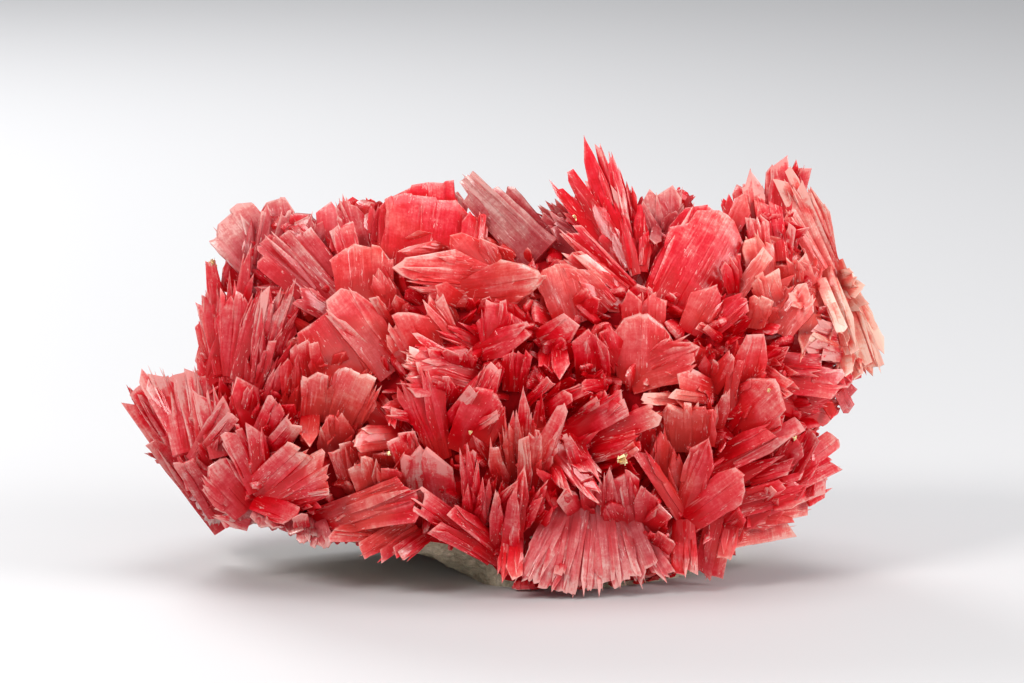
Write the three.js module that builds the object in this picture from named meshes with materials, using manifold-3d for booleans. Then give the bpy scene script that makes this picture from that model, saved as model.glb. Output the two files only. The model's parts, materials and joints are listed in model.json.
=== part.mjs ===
// A cluster of pink to red rhodonite crystals on a small piece of grey-green matrix.
// Millimetres, +Z up. The origin is on the ground below the middle of the cluster, and the
// front, where the best crystals stand, looks along -Y. Two solids are built: the crystals,
// which grew through one another and so are one piece, and the matrix that they stand on.

import * as THREE from 'three';
import { mergeVertices } from 'three/addons/utils/BufferGeometryUtils.js';
import Module from 'manifold-3d';

// ---- Driving dimensions ---------------------------------------------------------------

// The form that the crystals cover, as level rings: the height of each ring, and how far it
// reaches from the middle to the left, to the right, to the front and to the back.
const FORM = [
  { z: 0, left: 26, right: 33, front: 25, back: 17 },
  { z: 5, left: 37, right: 42, front: 26, back: 20 },
  { z: 12, left: 47, right: 47, front: 28, back: 22 },
  { z: 21, left: 52, right: 49, front: 28, back: 24 },
  { z: 30, left: 48, right: 53, front: 27, back: 24 },
  { z: 39, left: 43, right: 51, front: 24, back: 22 },
  { z: 47, left: 41, right: 48, front: 18, back: 17 },
  { z: 53, left: 36, right: 44, front: 10, back: 11 },
  { z: 57, left: 22, right: 38, front: 3, back: 5 },
];
const FORM_POWER = 2.5; // 2 would make each ring an ellipse, and more makes it squarer
const GAP_DEPTH = 4.2; // how deep the gaps between the crystals are, below the form
const GAP_DEPTH_MORE = 3; // and how much deeper some of them go
const ROOT_MASS_SIDES = 18;
const DOME_START = 40; // above this height the form closes, and its gaps are measured downwards
const DOME_RISE = 12;

// The crystals at the front are placed on an upright chart that leans back a little, because
// their faces are seen best from slightly above. A chart height is measured up that chart.
const CHART_LEAN = THREE.MathUtils.degToRad(10);
const CHART_PASSES = 6; // each halves what is left of the error in a place's depth

const ROOT_DEPTH = 7; // each root lies this far behind the form, and further if it is long
const ROOT_DEPTH_SHARE = 0.08;
const LIFT_SHARE = 0.65; // of the lift that a row gives, so that the front stays compact
const FULLNESS = 1.2; // of the widths in the rows, so that neighbours meet
const THICKNESS_SHARE = 0.5; // of a crystal's width
const THICKNESS_LEAST = 1.3;
const THICKNESS_MOST = 3.4;
const TIP_THINNING = 0.45; // how much of its thickness a crystal loses on its way to the tip

const GROUND_CLEARANCE = 0.35; // crystals end above the ground, and the matrix rests on it
const JOINT_GAP = 0.3; // between the crystals and the matrix
const FAR = 80; // beyond the object on every side

// The sprays of blades at the sides and the back.
const SPRAYS = 30;
const BLADES_IN_SPRAY = 2;
const REAR_START = THREE.MathUtils.degToRad(-14); // from just before the right side
const REAR_SWEEP = THREE.MathUtils.degToRad(208); // round the back to before the left side
const REAR_LOW = 9;
const REAR_HIGH = 54;
const REAR_CROWDING = 0.8; // below 1, more of them stand near the top
const REAR_FOCUS_HEIGHT = 22; // the blades point away from this height,
const REAR_RISE = 26; // steeply where this is small,
const REAR_BACKWARD = 1.6; // and to the back rather than to the sides
const SPREAD_LEAST = 0.33;
const SPREAD_MOST = 0.95;
const REAR_LENGTH = { least: 10, most: 14, shortest: 4, step: 1 };
const REAR_WIDTH = { least: 7, most: 11 };
const REAR_THICKNESS_SHARE = 0.4;
const REAR_TURN = 0.6;
const REAR_HABITS = ['slab', 'chisel', 'slab', 'round', 'lance'];

// The chart height that nothing at the back may stand above, from left to right.
const CREST = [
  [-51, 25], [-46, 27], [-43, 36], [-41, 45], [-37, 50], [-25, 50], [-14, 53], [-2, 52],
  [5, 48], [12, 53], [20, 52], [31, 50], [38, 53], [44, 53], [48, 47],
];
const CREST_MARGIN = 2;

// How low the crystals reach, from left to right: the cluster overhangs its matrix.
const UNDERSIDE = [
  [-FAR, 13], [-46, 9], [-30, 7.2], [-12, 7.2], [-3, 5.5],
  [0.5, 0.35], [32, 0.35], [49, 12], [FAR, 40],
];

// The matrix, as three outlines seen from above: the flat cut that it rests on, its widest
// level and its top, which the crystals cover. Each runs round from the right to the back.
const MATRIX_FOOT = [
  [30, 2], [27, 12], [18, 20], [2, 22], [-14, 20], [-24, 15],
  [-16, 5], [-9, -4], [-5, -10], [-1, -15], [12, -17], [25, -9],
];
const MATRIX_WAIST = [
  [38, 2], [34, 14], [20, 21], [0, 23], [-24, 21], [-42, 10],
  [-43, 0], [-38, -10], [-24, -17], [-4, -20], [14, -20], [32, -13],
];
const MATRIX_TOP = [
  [28, 2], [24, 9], [14, 14], [0, 15], [-16, 14], [-30, 8],
  [-32, 0], [-27, -7], [-16, -11], [-3, -13], [10, -13], [23, -9],
];
const MATRIX_WAIST_HEIGHT = 8.6;
const MATRIX_TOP_HEIGHT = 17;
const MATRIX_SIDES = 30;
const MATRIX_ROUGHNESS = 1.1; // how far its ridges stand out or in

// Outlines of the crystal habits, from the root (along 0) to the tip (along 1). The second
// number is in half widths, across.
const HABITS = {
  slab: [[0, -0.8], [0.94, -1], [1, 0.9], [0, 0.8]],
  chisel: [[0, -0.75], [0.72, -1], [1, -0.1], [0.82, 1], [0, 0.75]],
  lance: [[0, -0.7], [0.55, -1], [1, 0], [0.62, 0.95], [0, 0.7]],
  round: [[0, -0.7], [0.6, -1], [0.94, -0.55], [1, 0.35], [0.68, 1], [0, 0.75]],
  fan: [[0, -0.35], [0.86, -1], [1, -0.3], [0.9, 0.2], [0.97, 0.9], [0, 0.35]],
};

// ---- The crystals of the front ------------------------------------------------------------

// Each row is one crystal: its habit, the chart place of its root (x, height) and of its tip
// (x, height), its width, its turn about its own length in degrees, and how far it stands
// before the form.
const FRONT = {
  // Big pale plate and small blades at the top left corner.
  bigPalePlateAnd: [
    ['round', -35, 45, -41.3, 53.4, 9.5, 12, -3],
    ['chisel', -36.6, 45, -34.8, 54.3, 2.6, 15, -1],
  ],
  // Striated bars that cross the left shoulder.
  striatedBarsThatCross: [
    ['slab', -25, 40, -34.3, 50.1, 3.4, -20, 2],
    ['slab', -24.5, 43, -32.2, 51.3, 3.2, -10, 0],
  ],
  // Twin spikes on the left crest.
  twinSpikesOnThe: [
    ['lance', -25.2, 45, -26.3, 54.9, 3.8, 5, -2],
    ['chisel', -21.3, 46, -24.1, 55.4, 4.8, -10, -2],
    ['slab', -22.3, 44, -24.4, 51.4, 3.6, 10, 0],
  ],
  // Broad plate at the middle of the left crest, in two layers.
  broadPlateAtThe: [
    ['round', -11.5, 44, -11.8, 57.5, 12, 0, -4],
    ['slab', -17.4, 44, -17.2, 54.2, 2.8, -20, -1],
  ],
  // Long pale bar with its striated face up, leaning left.
  longPaleBarWith: [
    ['slab', 6, 45, -6.1, 57.6, 7.2, -12, -3],
    ['slab', 7.5, 47, -1, 56.6, 3.6, -25, -6],
    ['slab', 11, 47, 4.6, 52.2, 4.6, -15, -5],
  ],
  // Ragged pale frond behind the crest.
  raggedPaleFrondBehind: [
  ],
  // Tall red spray on the crest.
  tallRedSprayOn: [
    ['lance', 17, 46, 6.8, 57.9, 2.7, 15, 0],
    ['lance', 17.4, 46, 9.6, 59, 2.5, -10, 0],
    ['chisel', 18.2, 45, 11.3, 63.9, 3.3, 10, -2],
    ['chisel', 18.6, 45, 13.7, 62.9, 3.3, -10, -3],
    ['chisel', 19, 45, 15.3, 61.5, 2.8, 15, -3],
    ['chisel', 19.4, 45, 16.9, 58.8, 3, -10, -3],
    ['lance', 19.8, 45, 18.2, 57.6, 2.5, 20, -3],
    ['lance', 20.1, 45, 18.9, 56.5, 2, -20, -2],
    ['lance', 17.8, 45.5, 12.4, 58.2, 2.1, 20, 1],
    ['lance', 18, 44.5, 13.4, 54.6, 2.6, -10, 2],
    ['lance', 18.6, 44.2, 15, 56.2, 2.4, 15, 2],
    ['lance', 20.3, 44.5, 20.2, 54.2, 2.2, 0, -1],
  ],
  // Ragged pale cluster behind the spray.
  raggedPaleClusterBehind: [
    ['round', 23.3, 47, 22, 56.5, 3.8, 10, -5],
    ['round', 24.3, 47, 24.4, 56.9, 3.6, -10, -6],
    ['chisel', 22.4, 46, 21, 55, 2.8, 20, -3],
  ],
  // Large smooth slab right of the spray.
  largeSmoothSlabRight: [
    ['round', 24.2, 39.5, 31.2, 52.4, 9.8, 4, 0],
  ],
  // Blocks below the large slab.
  blocksBelowTheLarge: [
    ['chisel', 27.2, 35, 31.2, 42.6, 5, 10, 2],
  ],
  // Peaks of the right crest.
  peaksOfTheRight: [
    ['chisel', 34.5, 49.5, 32.9, 55.9, 2.4, 10, -4],
    ['lance', 36, 49, 35, 57.2, 2.6, -10, -4],
    ['lance', 37.8, 48, 36.6, 59.5, 3.2, 10, -3],
    ['lance', 38.6, 48, 38, 57.6, 2.8, -15, -3],
    ['lance', 40, 48, 39.8, 60.1, 2.6, 10, -3],
    ['chisel', 41, 48, 41.4, 62, 3.2, -10, -2],
    ['chisel', 43.2, 52, 43.3, 61.3, 2.6, 10, -3],
    ['slab', 40.3, 45.5, 39, 55.2, 3.8, 10, -1],
  ],
  // Sheaf of long laths down the right edge, upper half.
  sheafOfLongLaths: [
    ['slab', 48.3, 44, 40.7, 59.4, 2.2, 10, 3],
    ['slab', 48.8, 44.3, 42.7, 57.8, 2.3, -10, 4],
    ['chisel', 49.5, 45, 45.5, 57.4, 2.6, -10, 1],
    ['round', 49.2, 46, 46.9, 56.5, 2.6, 10, -1],
  ],
  // The same sheaf, lower half.
  theSameSheafLower: [
    ['slab', 48.5, 45.5, 53.6, 29.2, 2.4, -10, 4],
    ['slab', 49.3, 45.5, 55.5, 29, 2.4, 10, 4],
    ['chisel', 50, 45, 57, 31.2, 2.3, -10, 2],
    ['slab', 47.8, 44.5, 51.8, 31.5, 2, 15, 4],
  ],
  // Blocks inside the right shoulder.
  blocksInsideTheRight: [
    ['slab', 40.3, 35, 45.2, 42.5, 5.4, -10, 2],
  ],
  // Standing slabs right of the middle.
  standingSlabsRightOf: [
    ['slab', 21.2, 33, 21.6, 41.4, 4.4, 10, 0],
    ['chisel', 20.4, 28, 20.6, 37.6, 7.4, 0, 2],
    ['slab', 19.3, 29.5, 28.6, 33.2, 4.2, 5, 3],
    ['slab', 27.2, 18, 27.2, 25, 7.4, 0, 3],
  ],
  // Big bent crystal and the glassy bars on it.
  bigBentCrystalAnd: [
    ['round', 35.2, 24, 37, 34.8, 4.2, 10, 4],
    ['round', 34.8, 21.5, 40.8, 27.2, 7.4, 0, 5],
  ],
  // Dark slabs of the right flank.
  darkSlabsOfThe: [
    ['slab', 41.2, 25.4, 49.9, 22.9, 4.6, 5, 1],
    ['slab', 41.6, 27.4, 50.6, 27, 3.8, -10, 1],
  ],
  // Long diagonal bar and its neighbours.
  longDiagonalBarAnd: [
    ['slab', 30.2, 14.6, 44.3, 22, 2.3, 5, 5],
  ],
  // Fan at the lower right edge.
  fanAtTheLower: [
    ['slab', 38.6, 12, 49.3, 20.8, 2.6, 10, 1],
    ['slab', 38.8, 11.6, 49.7, 17.4, 2.6, -10, 1],
    ['slab', 39.4, 11, 49.1, 14.6, 2.6, 10, 1],
    ['slab', 33.6, 8.2, 45.2, 11.4, 3.4, 5, 1],
    ['slab', 33, 4.2, 44.4, 6.4, 3.2, -5, 0],
  ],
  // Plates that meet at the lower right.
  platesThatMeetAt: [
    ['round', 27, 7.6, 35.6, 13.8, 5.2, 5, 5],
    ['slab', 26.4, 7.2, 19.2, 18.4, 1.7, 10, 5],
    ['chisel', 26.4, 8.6, 30.2, 20, 4, 5, 4],
    ['slab', 26.5, 7.4, 26.6, -1.2, 3.8, 10, 3],
    ['slab', 33.2, 8.6, 30.9, -1.6, 2.6, -10, 2],
    ['slab', 31.2, 8, 29, -1.9, 2.6, 10, 2],
  ],
  // Curtain along the bottom edge.
  curtainAlongTheBottom: [
    ['slab', 9, 5.4, 2.4, -2.3, 2.8, 10, 1],
    ['slab', 9.8, 5.2, 7.2, -3.7, 2.8, 10, 1],
    ['slab', 11.8, 5.2, 12.4, -3.9, 2.8, 10, 1],
    ['slab', 14.6, 5.2, 17.4, -2.3, 2.8, 10, 1],
    ['slab', 16, 4.8, 25.8, -2.7, 2.4, 5, 2],
    ['slab', 15.6, 5.2, 22.4, -1, 2.2, -10, 3],
  ],
  // Knobs above the curtain.
  knobsAboveTheCurtain: [
    ['chisel', 18.8, 4.6, 17, 13.6, 4.6, 5, 3],
  ],
  // Spray of lances in the lower middle.
  sprayOfLancesIn: [
    ['lance', 2.6, 15, 3, 27.2, 1.9, 5, 6],
    ['lance', 3.2, 11.5, 8.8, 24.6, 2.4, -10, 7],
    ['lance', 3.2, 10.6, 4.3, 20.9, 2.1, 10, 6],
    ['lance', 1, 2, 2.7, 15.4, 2.3, 5, 6],
    ['lance', -0.5, 11.5, -2, 20, 1.8, 5, 7],
    ['lance', -4.6, 6.2, -5.2, 19.2, 1.5, -10, 6],
  ],
  // Leaning leaf right of the spray.
  leaningLeafRightOf: [
    ['chisel', 6.6, 19, 13.7, 10.3, 4.6, 5, 5],
    ['lance', 12.4, 11.6, 8.9, 20.4, 2.4, -10, 6],
  ],
  // Feathered plates left of the middle.
  featheredPlatesLeftOf: [
    ['chisel', -4.8, 20.5, -1.9, 30.5, 3.4, -10, 4],
    ['slab', -6.8, 18.2, -1, 25.4, 6, 5, 3],
    ['fan', -9.2, 16.6, -14, 29.8, 6, 0, 3],
  ],
  // Smooth slabs of the left middle.
  smoothSlabsOfThe: [
    ['round', -21.6, 28.5, -27, 37.6, 8.4, 0, 1],
    ['slab', -16.6, 29.6, -24.4, 40.8, 5.2, 10, 3],
  ],
  // Broad slab with its end striated.
  broadSlabWithIts: [
    ['slab', -27.6, 22.2, -26.6, 29.4, 5.6, 5, 4],
    ['slab', -23.6, 22.2, -20.4, 29.5, 6.6, -5, 4],
  ],
  // Small plates below it.
  smallPlatesBelowIt: [
  ],
  // Bright double point.
  brightDoublePoint: [
    ['chisel', -12.8, 11.2, -12.3, 19.3, 2.6, 15, 5],
    ['chisel', -11.2, 10.8, -10.5, 18.5, 4, -5, 5],
  ],
  // Long bars of the lower left.
  longBarsOfThe: [
    ['slab', -28.6, 6.8, -13.4, 12.6, 3.8, 5, 4],
    ['slab', -27.2, 6.2, -11.4, 8.8, 2.5, -10, 4],
    ['slab', -26, 7, -12, 10.6, 2.8, 10, 4],
    ['slab', -0.6, 1.8, -13.4, 10.8, 3, 5, 5],
  ],
  // Sheaf of curved plates at the lower left.
  sheafOfCurvedPlates: [
    ['slab', -37.2, 11.4, -29.4, 18.4, 4, 10, 2],
    ['slab', -36, 10.4, -25.4, 16.6, 3.6, -10, 3],
  ],
  // Bars that stand inside the left lobe.
  barsThatStandInside: [
  ],
  // Left lobe: long bars that lean out to the left.
  leftLobeLongBars: [
    ['slab', -43.4, 7.6, -56.2, 26.6, 3, 5, 0],
    ['slab', -43, 8.8, -55, 27.8, 3, -10, 1],
    ['slab', -42.4, 9.6, -51.8, 29.7, 3, 10, 0],
    ['slab', -44, 13.6, -48.1, 29.6, 2.2, -10, 2],
    ['slab', -43.4, 14.6, -45.8, 29.6, 2.5, 10, 1],
    ['slab', -47.6, 17, -50, 29, 3, 10, 0],
    ['slab', -41.4, 6.6, -51.4, 20.8, 4.6, 5, 2],
    ['slab', -41.8, 8.4, -46.8, 17.4, 4, -10, 2],
    ['chisel', -48.6, 19, -54.3, 29.4, 2.8, 10, -1],
    ['slab', -38, 9.2, -43.6, 15.8, 5, 5, 1],
  ],
  // Left spray.
  leftSpray: [
    ['lance', -41.6, 28, -45.5, 40.4, 2.1, 10, 0],
    ['lance', -41.2, 30, -43.9, 46, 2.8, 10, -2],
    ['lance', -40.8, 27.5, -41.1, 44.1, 2.1, 10, 1],
    ['lance', -40.2, 27.5, -38, 48.3, 2.4, 5, 1],
    ['chisel', -42.6, 27.5, -45.6, 33.2, 3, -10, 0],
  ],
  // Second spray, ragged and pale at its tips.
  secondSprayRaggedAnd: [
    ['lance', -36.6, 27, -34.4, 40.9, 1.9, 10, 1],
    ['lance', -36.4, 27.5, -32, 41.8, 1.8, 10, -1],
    ['lance', -36.2, 28.5, -30.7, 43, 1.7, -10, -1],
    ['lance', -36, 29, -29.8, 40.4, 1.6, 10, -1],
  ],
  // Slab and ledges below the left crest.
  slabAndLedgesBelow: [
    ['slab', -21.2, 39.6, -21.8, 47.8, 8.2, 0, 1],
    ['slab', -0.6, 43.4, -15.8, 46, 3.4, 5, 3],
    ['slab', -4.4, 41.4, 5.6, 42.2, 4.4, 5, 3],
    ['chisel', -16.8, 38.2, -19, 44.7, 3.2, 10, 2],
    ['slab', -12.4, 30.8, -14.2, 37.8, 6.4, 0, 3],
    ['slab', -5.4, 31.8, -12, 40.2, 1.8, 10, 4],
  ],
  // Plates round the small caves of the centre.
  platesRoundTheSmall: [
    ['chisel', -2, 31.8, -0.6, 39.8, 4.6, 5, 4],
    ['slab', 18.6, 41, 8.8, 51.2, 3, -10, 3],
    ['chisel', 15, 27.8, 13.4, 35.2, 2.2, -15, 4],
  ],
  // Plates right of the lance spray.
  platesRightOfThe: [
    ['slab', 8.6, 19.6, 18.4, 25.2, 3.6, 5, 5],
    ['slab', 10.4, 18.4, 23.2, 23.5, 3.2, 5, 6],
  ],
};

// ---- Small helpers --------------------------------------------------------------------

// A number from 0 to 1 that looks random and is the same in every run.
const SCATTER = { step: 12.9898, start: 4.1414, stretch: 43758.5453 };

function scatter(index) {
  const wave = Math.sin(index * SCATTER.step + SCATTER.start) * SCATTER.stretch;
  return wave - Math.floor(wave);
}

function scatterBetween(low, high, index) {
  return THREE.MathUtils.lerp(low, high, scatter(index));
}

// The ring of the form at one height.
function formAt(z) {
  let upper = FORM.findIndex((ring) => ring.z >= z);
  if (upper < 0) upper = FORM.length - 1;
  if (upper === 0) upper = 1;
  const low = FORM[upper - 1];
  const high = FORM[upper];
  const share = THREE.MathUtils.clamp((z - low.z) / (high.z - low.z), 0, 1);
  const between = (key) => THREE.MathUtils.lerp(low[key], high[key], share);
  return {
    left: between('left'), right: between('right'), front: between('front'), back: between('back'),
  };
}

// How far the form reaches to the front (negative) at a place seen from the front.
function frontOfForm(x, z) {
  const ring = formAt(z);
  const across = Math.min(1, Math.abs(x) / (x < 0 ? ring.left : ring.right));
  return -ring.front * (1 - across ** FORM_POWER) ** (1 / FORM_POWER);
}

// The point of the form at an angle round it (0 is right, 90 degrees is the back) and a height.
function pointOfForm(angle, z, inset = 0) {
  const ring = formAt(z);
  const halfX = (Math.cos(angle) < 0 ? ring.left : ring.right) - inset;
  const halfY = (Math.sin(angle) < 0 ? ring.front : ring.back) - inset;
  const power = 2 / FORM_POWER;
  const x = halfX * Math.sign(Math.cos(angle)) * Math.abs(Math.cos(angle)) ** power;
  const y = halfY * Math.sign(Math.sin(angle)) * Math.abs(Math.sin(angle)) ** power;
  return new THREE.Vector3(x, y, z);
}

// A place on the chart becomes a point in space: `lift` is how far it stands before the form.
function chartPoint(x, chartHeight, lift) {
  const place = new THREE.Vector3(x, 0, 0);
  for (let pass = 0; pass < CHART_PASSES; pass += 1) {
    place.z = (chartHeight - place.y * Math.sin(CHART_LEAN)) / Math.cos(CHART_LEAN);
    place.y = (place.y + frontOfForm(x, place.z) - lift) / 2;
  }
  place.z = (chartHeight - place.y * Math.sin(CHART_LEAN)) / Math.cos(CHART_LEAN);
  return place;
}

// ---- Solids and their joins -----------------------------------------------------------

const wasm = await Module();
wasm.setup();

// A closed geometry becomes a solid that can be joined and cut.
function toSolid(geometry) {
  const bare = geometry.clone();
  bare.deleteAttribute('normal');
  bare.deleteAttribute('uv');
  const merged = mergeVertices(bare);
  return new wasm.Manifold(new wasm.Mesh({
    numProp: 3,
    vertProperties: new Float32Array(merged.attributes.position.array),
    triVerts: new Uint32Array(merged.index.array),
  }));
}

function toGeometry(solid) {
  const mesh = solid.getMesh();
  const geometry = new THREE.BufferGeometry();
  geometry.setAttribute('position', new THREE.BufferAttribute(mesh.vertProperties, mesh.numProp));
  geometry.setIndex(new THREE.BufferAttribute(mesh.triVerts, 1));
  geometry.computeVertexNormals();
  return geometry;
}

// Closed surface through level rings of points, with a flat fan at the bottom and the top.
function loft(rings) {
  const sides = rings[0].length;
  const middle = (ring) => ring.reduce((sum, p) => sum.add(p), new THREE.Vector3()).divideScalar(sides);
  const points = [...rings.flat(), middle(rings[0]), middle(rings.at(-1))];
  const bottom = rings.length * sides;
  const top = bottom + 1;
  const faces = [];
  for (let side = 0; side < sides; side += 1) {
    const next = (side + 1) % sides;
    faces.push(bottom, next, side);
    for (let level = 0; level < rings.length - 1; level += 1) {
      const here = level * sides;
      const above = here + sides;
      faces.push(here + side, here + next, above + next);
      faces.push(here + side, above + next, above + side);
    }
    const last = (rings.length - 1) * sides;
    faces.push(top, last + side, last + next);
  }
  const geometry = new THREE.BufferGeometry().setFromPoints(points);
  geometry.setIndex(faces);
  return geometry;
}

// ---- One crystal ----------------------------------------------------------------------

// A flat crystal between two points. `facing` is the direction that its broad face looks in.
function crystalGeometry(habit, root, tip, width, thickness, facing) {
  const along = tip.clone().sub(root);
  const length = along.length();
  along.normalize();
  const across = new THREE.Vector3().crossVectors(facing, along).normalize();
  const normal = new THREE.Vector3().crossVectors(along, across);
  const outline = HABITS[habit].map(([u, s]) => new THREE.Vector2(u * length, s * width / 2));
  const plate = { depth: thickness, bevelEnabled: false };
  const geometry = new THREE.ExtrudeGeometry(new THREE.Shape(outline), plate);
  geometry.translate(0, 0, -thickness / 2);
  const place = geometry.attributes.position;
  for (let i = 0; i < place.count; i += 1) {
    place.setZ(i, place.getZ(i) * (1 - TIP_THINNING * place.getX(i) / length));
  }
  const frame = new THREE.Matrix4().makeBasis(along, across, normal);
  frame.setPosition(root);
  return geometry.applyMatrix4(frame);
}

// The way into the cluster, square to the chart.
const INWARDS = new THREE.Vector3(0, Math.cos(CHART_LEAN), -Math.sin(CHART_LEAN));

// A crystal from the chart: where its root and tip are seen, its width, how far its broad
// face is turned about its length, and how far it stands before the form.
function frontCrystal([habit, rootX, rootHeight, tipX, tipHeight, width, turn, lift]) {
  const root = chartPoint(rootX, rootHeight, Math.min(0, lift));
  const tip = chartPoint(tipX, tipHeight, LIFT_SHARE * lift);
  const depth = ROOT_DEPTH + ROOT_DEPTH_SHARE * tip.distanceTo(root);
  root.addScaledVector(INWARDS, depth);
  const along = tip.clone().sub(root).normalize();
  const facing = INWARDS.clone().negate();
  facing.addScaledVector(along, -facing.dot(along)).normalize();
  facing.applyAxisAngle(along, THREE.MathUtils.degToRad(turn));
  const full = width * FULLNESS;
  const thickness = THREE.MathUtils.clamp(full * THICKNESS_SHARE, THICKNESS_LEAST, THICKNESS_MOST);
  return crystalGeometry(habit, root, tip, full, thickness, facing);
}

// ---- The sides and the back -----------------------------------------------------------

// The height of a line, such as the crest, at a place along it.
function heightAt(line, x) {
  const upper = Math.max(1, line.findIndex(([place]) => place >= x));
  const [x0, height0] = line[upper - 1];
  const [x1, height1] = line[upper];
  return THREE.MathUtils.mapLinear(x, x0, x1, height0, height1);
}

function chartHeightOf(point) {
  return point.z * Math.cos(CHART_LEAN) + point.y * Math.sin(CHART_LEAN);
}

// Whether a point is hidden behind the front of the cluster.
function isBehindFront(point) {
  if (point.x < CREST[0][0] || point.x > CREST.at(-1)[0]) return false;
  const height = chartHeightOf(point);
  return height < heightAt(CREST, point.x) && height > heightAt(UNDERSIDE, point.x) + CREST_MARGIN;
}

// Sprays stand round the sides and the back by rule. The golden angle spreads them evenly,
// and each spray opens like a fan from one root.
const GOLDEN_ANGLE = Math.PI * (3 - Math.sqrt(5));
const FULL_TURN = 2 * Math.PI;

// One blade of one spray, shortened until the front of the cluster hides it. The numbers that
// are added to the seed only keep the draws apart.
function rearCrystal(spray, blade) {
  const seed = spray * BLADES_IN_SPRAY + blade;
  const round = (spray * GOLDEN_ANGLE % FULL_TURN) / FULL_TURN;
  const angle = REAR_START + REAR_SWEEP * round;
  const z = THREE.MathUtils.lerp(REAR_LOW, REAR_HIGH, ((spray + 0.5) / SPRAYS) ** REAR_CROWDING);
  const root = pointOfForm(angle, z, ROOT_DEPTH);
  const rise = (z - REAR_FOCUS_HEIGHT) / REAR_RISE;
  const out = new THREE.Vector3(Math.cos(angle), REAR_BACKWARD * Math.sin(angle), rise).normalize();
  const side = new THREE.Vector3(0, 0, 1).cross(out).normalize();
  const up = out.clone().cross(side);
  const swing = blade * GOLDEN_ANGLE + FULL_TURN * scatter(seed);
  const open = scatterBetween(SPREAD_LEAST, SPREAD_MOST, seed + 900);
  const along = out.clone();
  along.addScaledVector(side, open * Math.cos(swing)).addScaledVector(up, open * Math.sin(swing));
  along.normalize();
  let length = scatterBetween(REAR_LENGTH.least, REAR_LENGTH.most, seed + 300);
  const tip = root.clone().addScaledVector(along, length);
  while (length > REAR_LENGTH.shortest && !isBehindFront(tip)) {
    length -= REAR_LENGTH.step;
    tip.copy(root).addScaledVector(along, length);
  }
  const width = scatterBetween(REAR_WIDTH.least, REAR_WIDTH.most, seed + 500);
  const facing = new THREE.Vector3().crossVectors(along, out).normalize();
  facing.applyAxisAngle(along, scatterBetween(-REAR_TURN, REAR_TURN, seed + 700));
  const habit = REAR_HABITS[seed % REAR_HABITS.length];
  return crystalGeometry(habit, root, tip, width, REAR_THICKNESS_SHARE * width, facing);
}

// ---- The matrix -----------------------------------------------------------------------

// One rough level outline of the matrix. `grow` makes the room that the crystals leave for it.
function matrixRing(outline, z, seed, rough, grow) {
  const curve = new THREE.CatmullRomCurve3(outline.map(([x, y]) => new THREE.Vector3(x, y, z)), true);
  const middle = new THREE.Vector3(0, 0, z);
  return curve.getPoints(MATRIX_SIDES).slice(0, MATRIX_SIDES).map((point, side) => {
    const reach = point.distanceTo(middle);
    const out = reach + grow + rough * (2 * scatter(seed + side) - 1);
    return point.sub(middle).multiplyScalar(out / reach).add(middle);
  });
}

function between(outlineA, outlineB, share) {
  return outlineA.map(([x, y], i) => [
    THREE.MathUtils.lerp(x, outlineB[i][0], share),
    THREE.MathUtils.lerp(y, outlineB[i][1], share),
  ]);
}

// The levels of the matrix from its foot to its top: an outline, its height and its roughness.
const MATRIX_LEVELS = [
  [MATRIX_FOOT, 0, MATRIX_ROUGHNESS / 2],
  [between(MATRIX_FOOT, MATRIX_WAIST, 0.62), 0.42 * MATRIX_WAIST_HEIGHT, MATRIX_ROUGHNESS],
  [MATRIX_WAIST, MATRIX_WAIST_HEIGHT, MATRIX_ROUGHNESS],
  [between(MATRIX_WAIST, MATRIX_TOP, 0.4), 1.5 * MATRIX_WAIST_HEIGHT, MATRIX_ROUGHNESS],
  [MATRIX_TOP, MATRIX_TOP_HEIGHT, MATRIX_ROUGHNESS],
];

function matrixGeometry(grow) {
  const rings = MATRIX_LEVELS.map(([outline, height, rough], level) => {
    const rise = height > MATRIX_WAIST_HEIGHT ? grow : 0;
    return matrixRing(outline, height + rise, level * MATRIX_SIDES, rough, grow);
  });
  if (grow > 0) rings.unshift(rings[0].map((point) => point.clone().setZ(-1)));
  return loft(rings);
}

// ---- The crystals ---------------------------------------------------------------------

// The inside of the cluster, where all the roots meet.
function rootMass() {
  const rings = FORM.map(({ z }) => {
    const ring = [];
    for (let side = 0; side < ROOT_MASS_SIDES; side += 1) {
      const gap = GAP_DEPTH + GAP_DEPTH_MORE * scatter(side + ROOT_MASS_SIDES * z);
      const inset = Math.min(gap, formAt(z).front - 1);
      const point = pointOfForm(FULL_TURN * side / ROOT_MASS_SIDES, z, inset);
      ring.push(point.setZ(z - GAP_DEPTH * Math.max(0, z - DOME_START) / DOME_RISE));
    }
    return ring;
  });
  return loft(rings);
}

// All that lies below the crystals, from the left to the right.
function belowCrystals() {
  const profile = UNDERSIDE.map(([x, z]) => new THREE.Vector2(x, z));
  profile.push(new THREE.Vector2(FAR, -FAR), new THREE.Vector2(-FAR, -FAR));
  const block = { depth: 2 * FAR, bevelEnabled: false };
  const geometry = new THREE.ExtrudeGeometry(new THREE.Shape(profile), block);
  return geometry.rotateX(Math.PI / 2).translate(0, FAR, 0);
}

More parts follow.
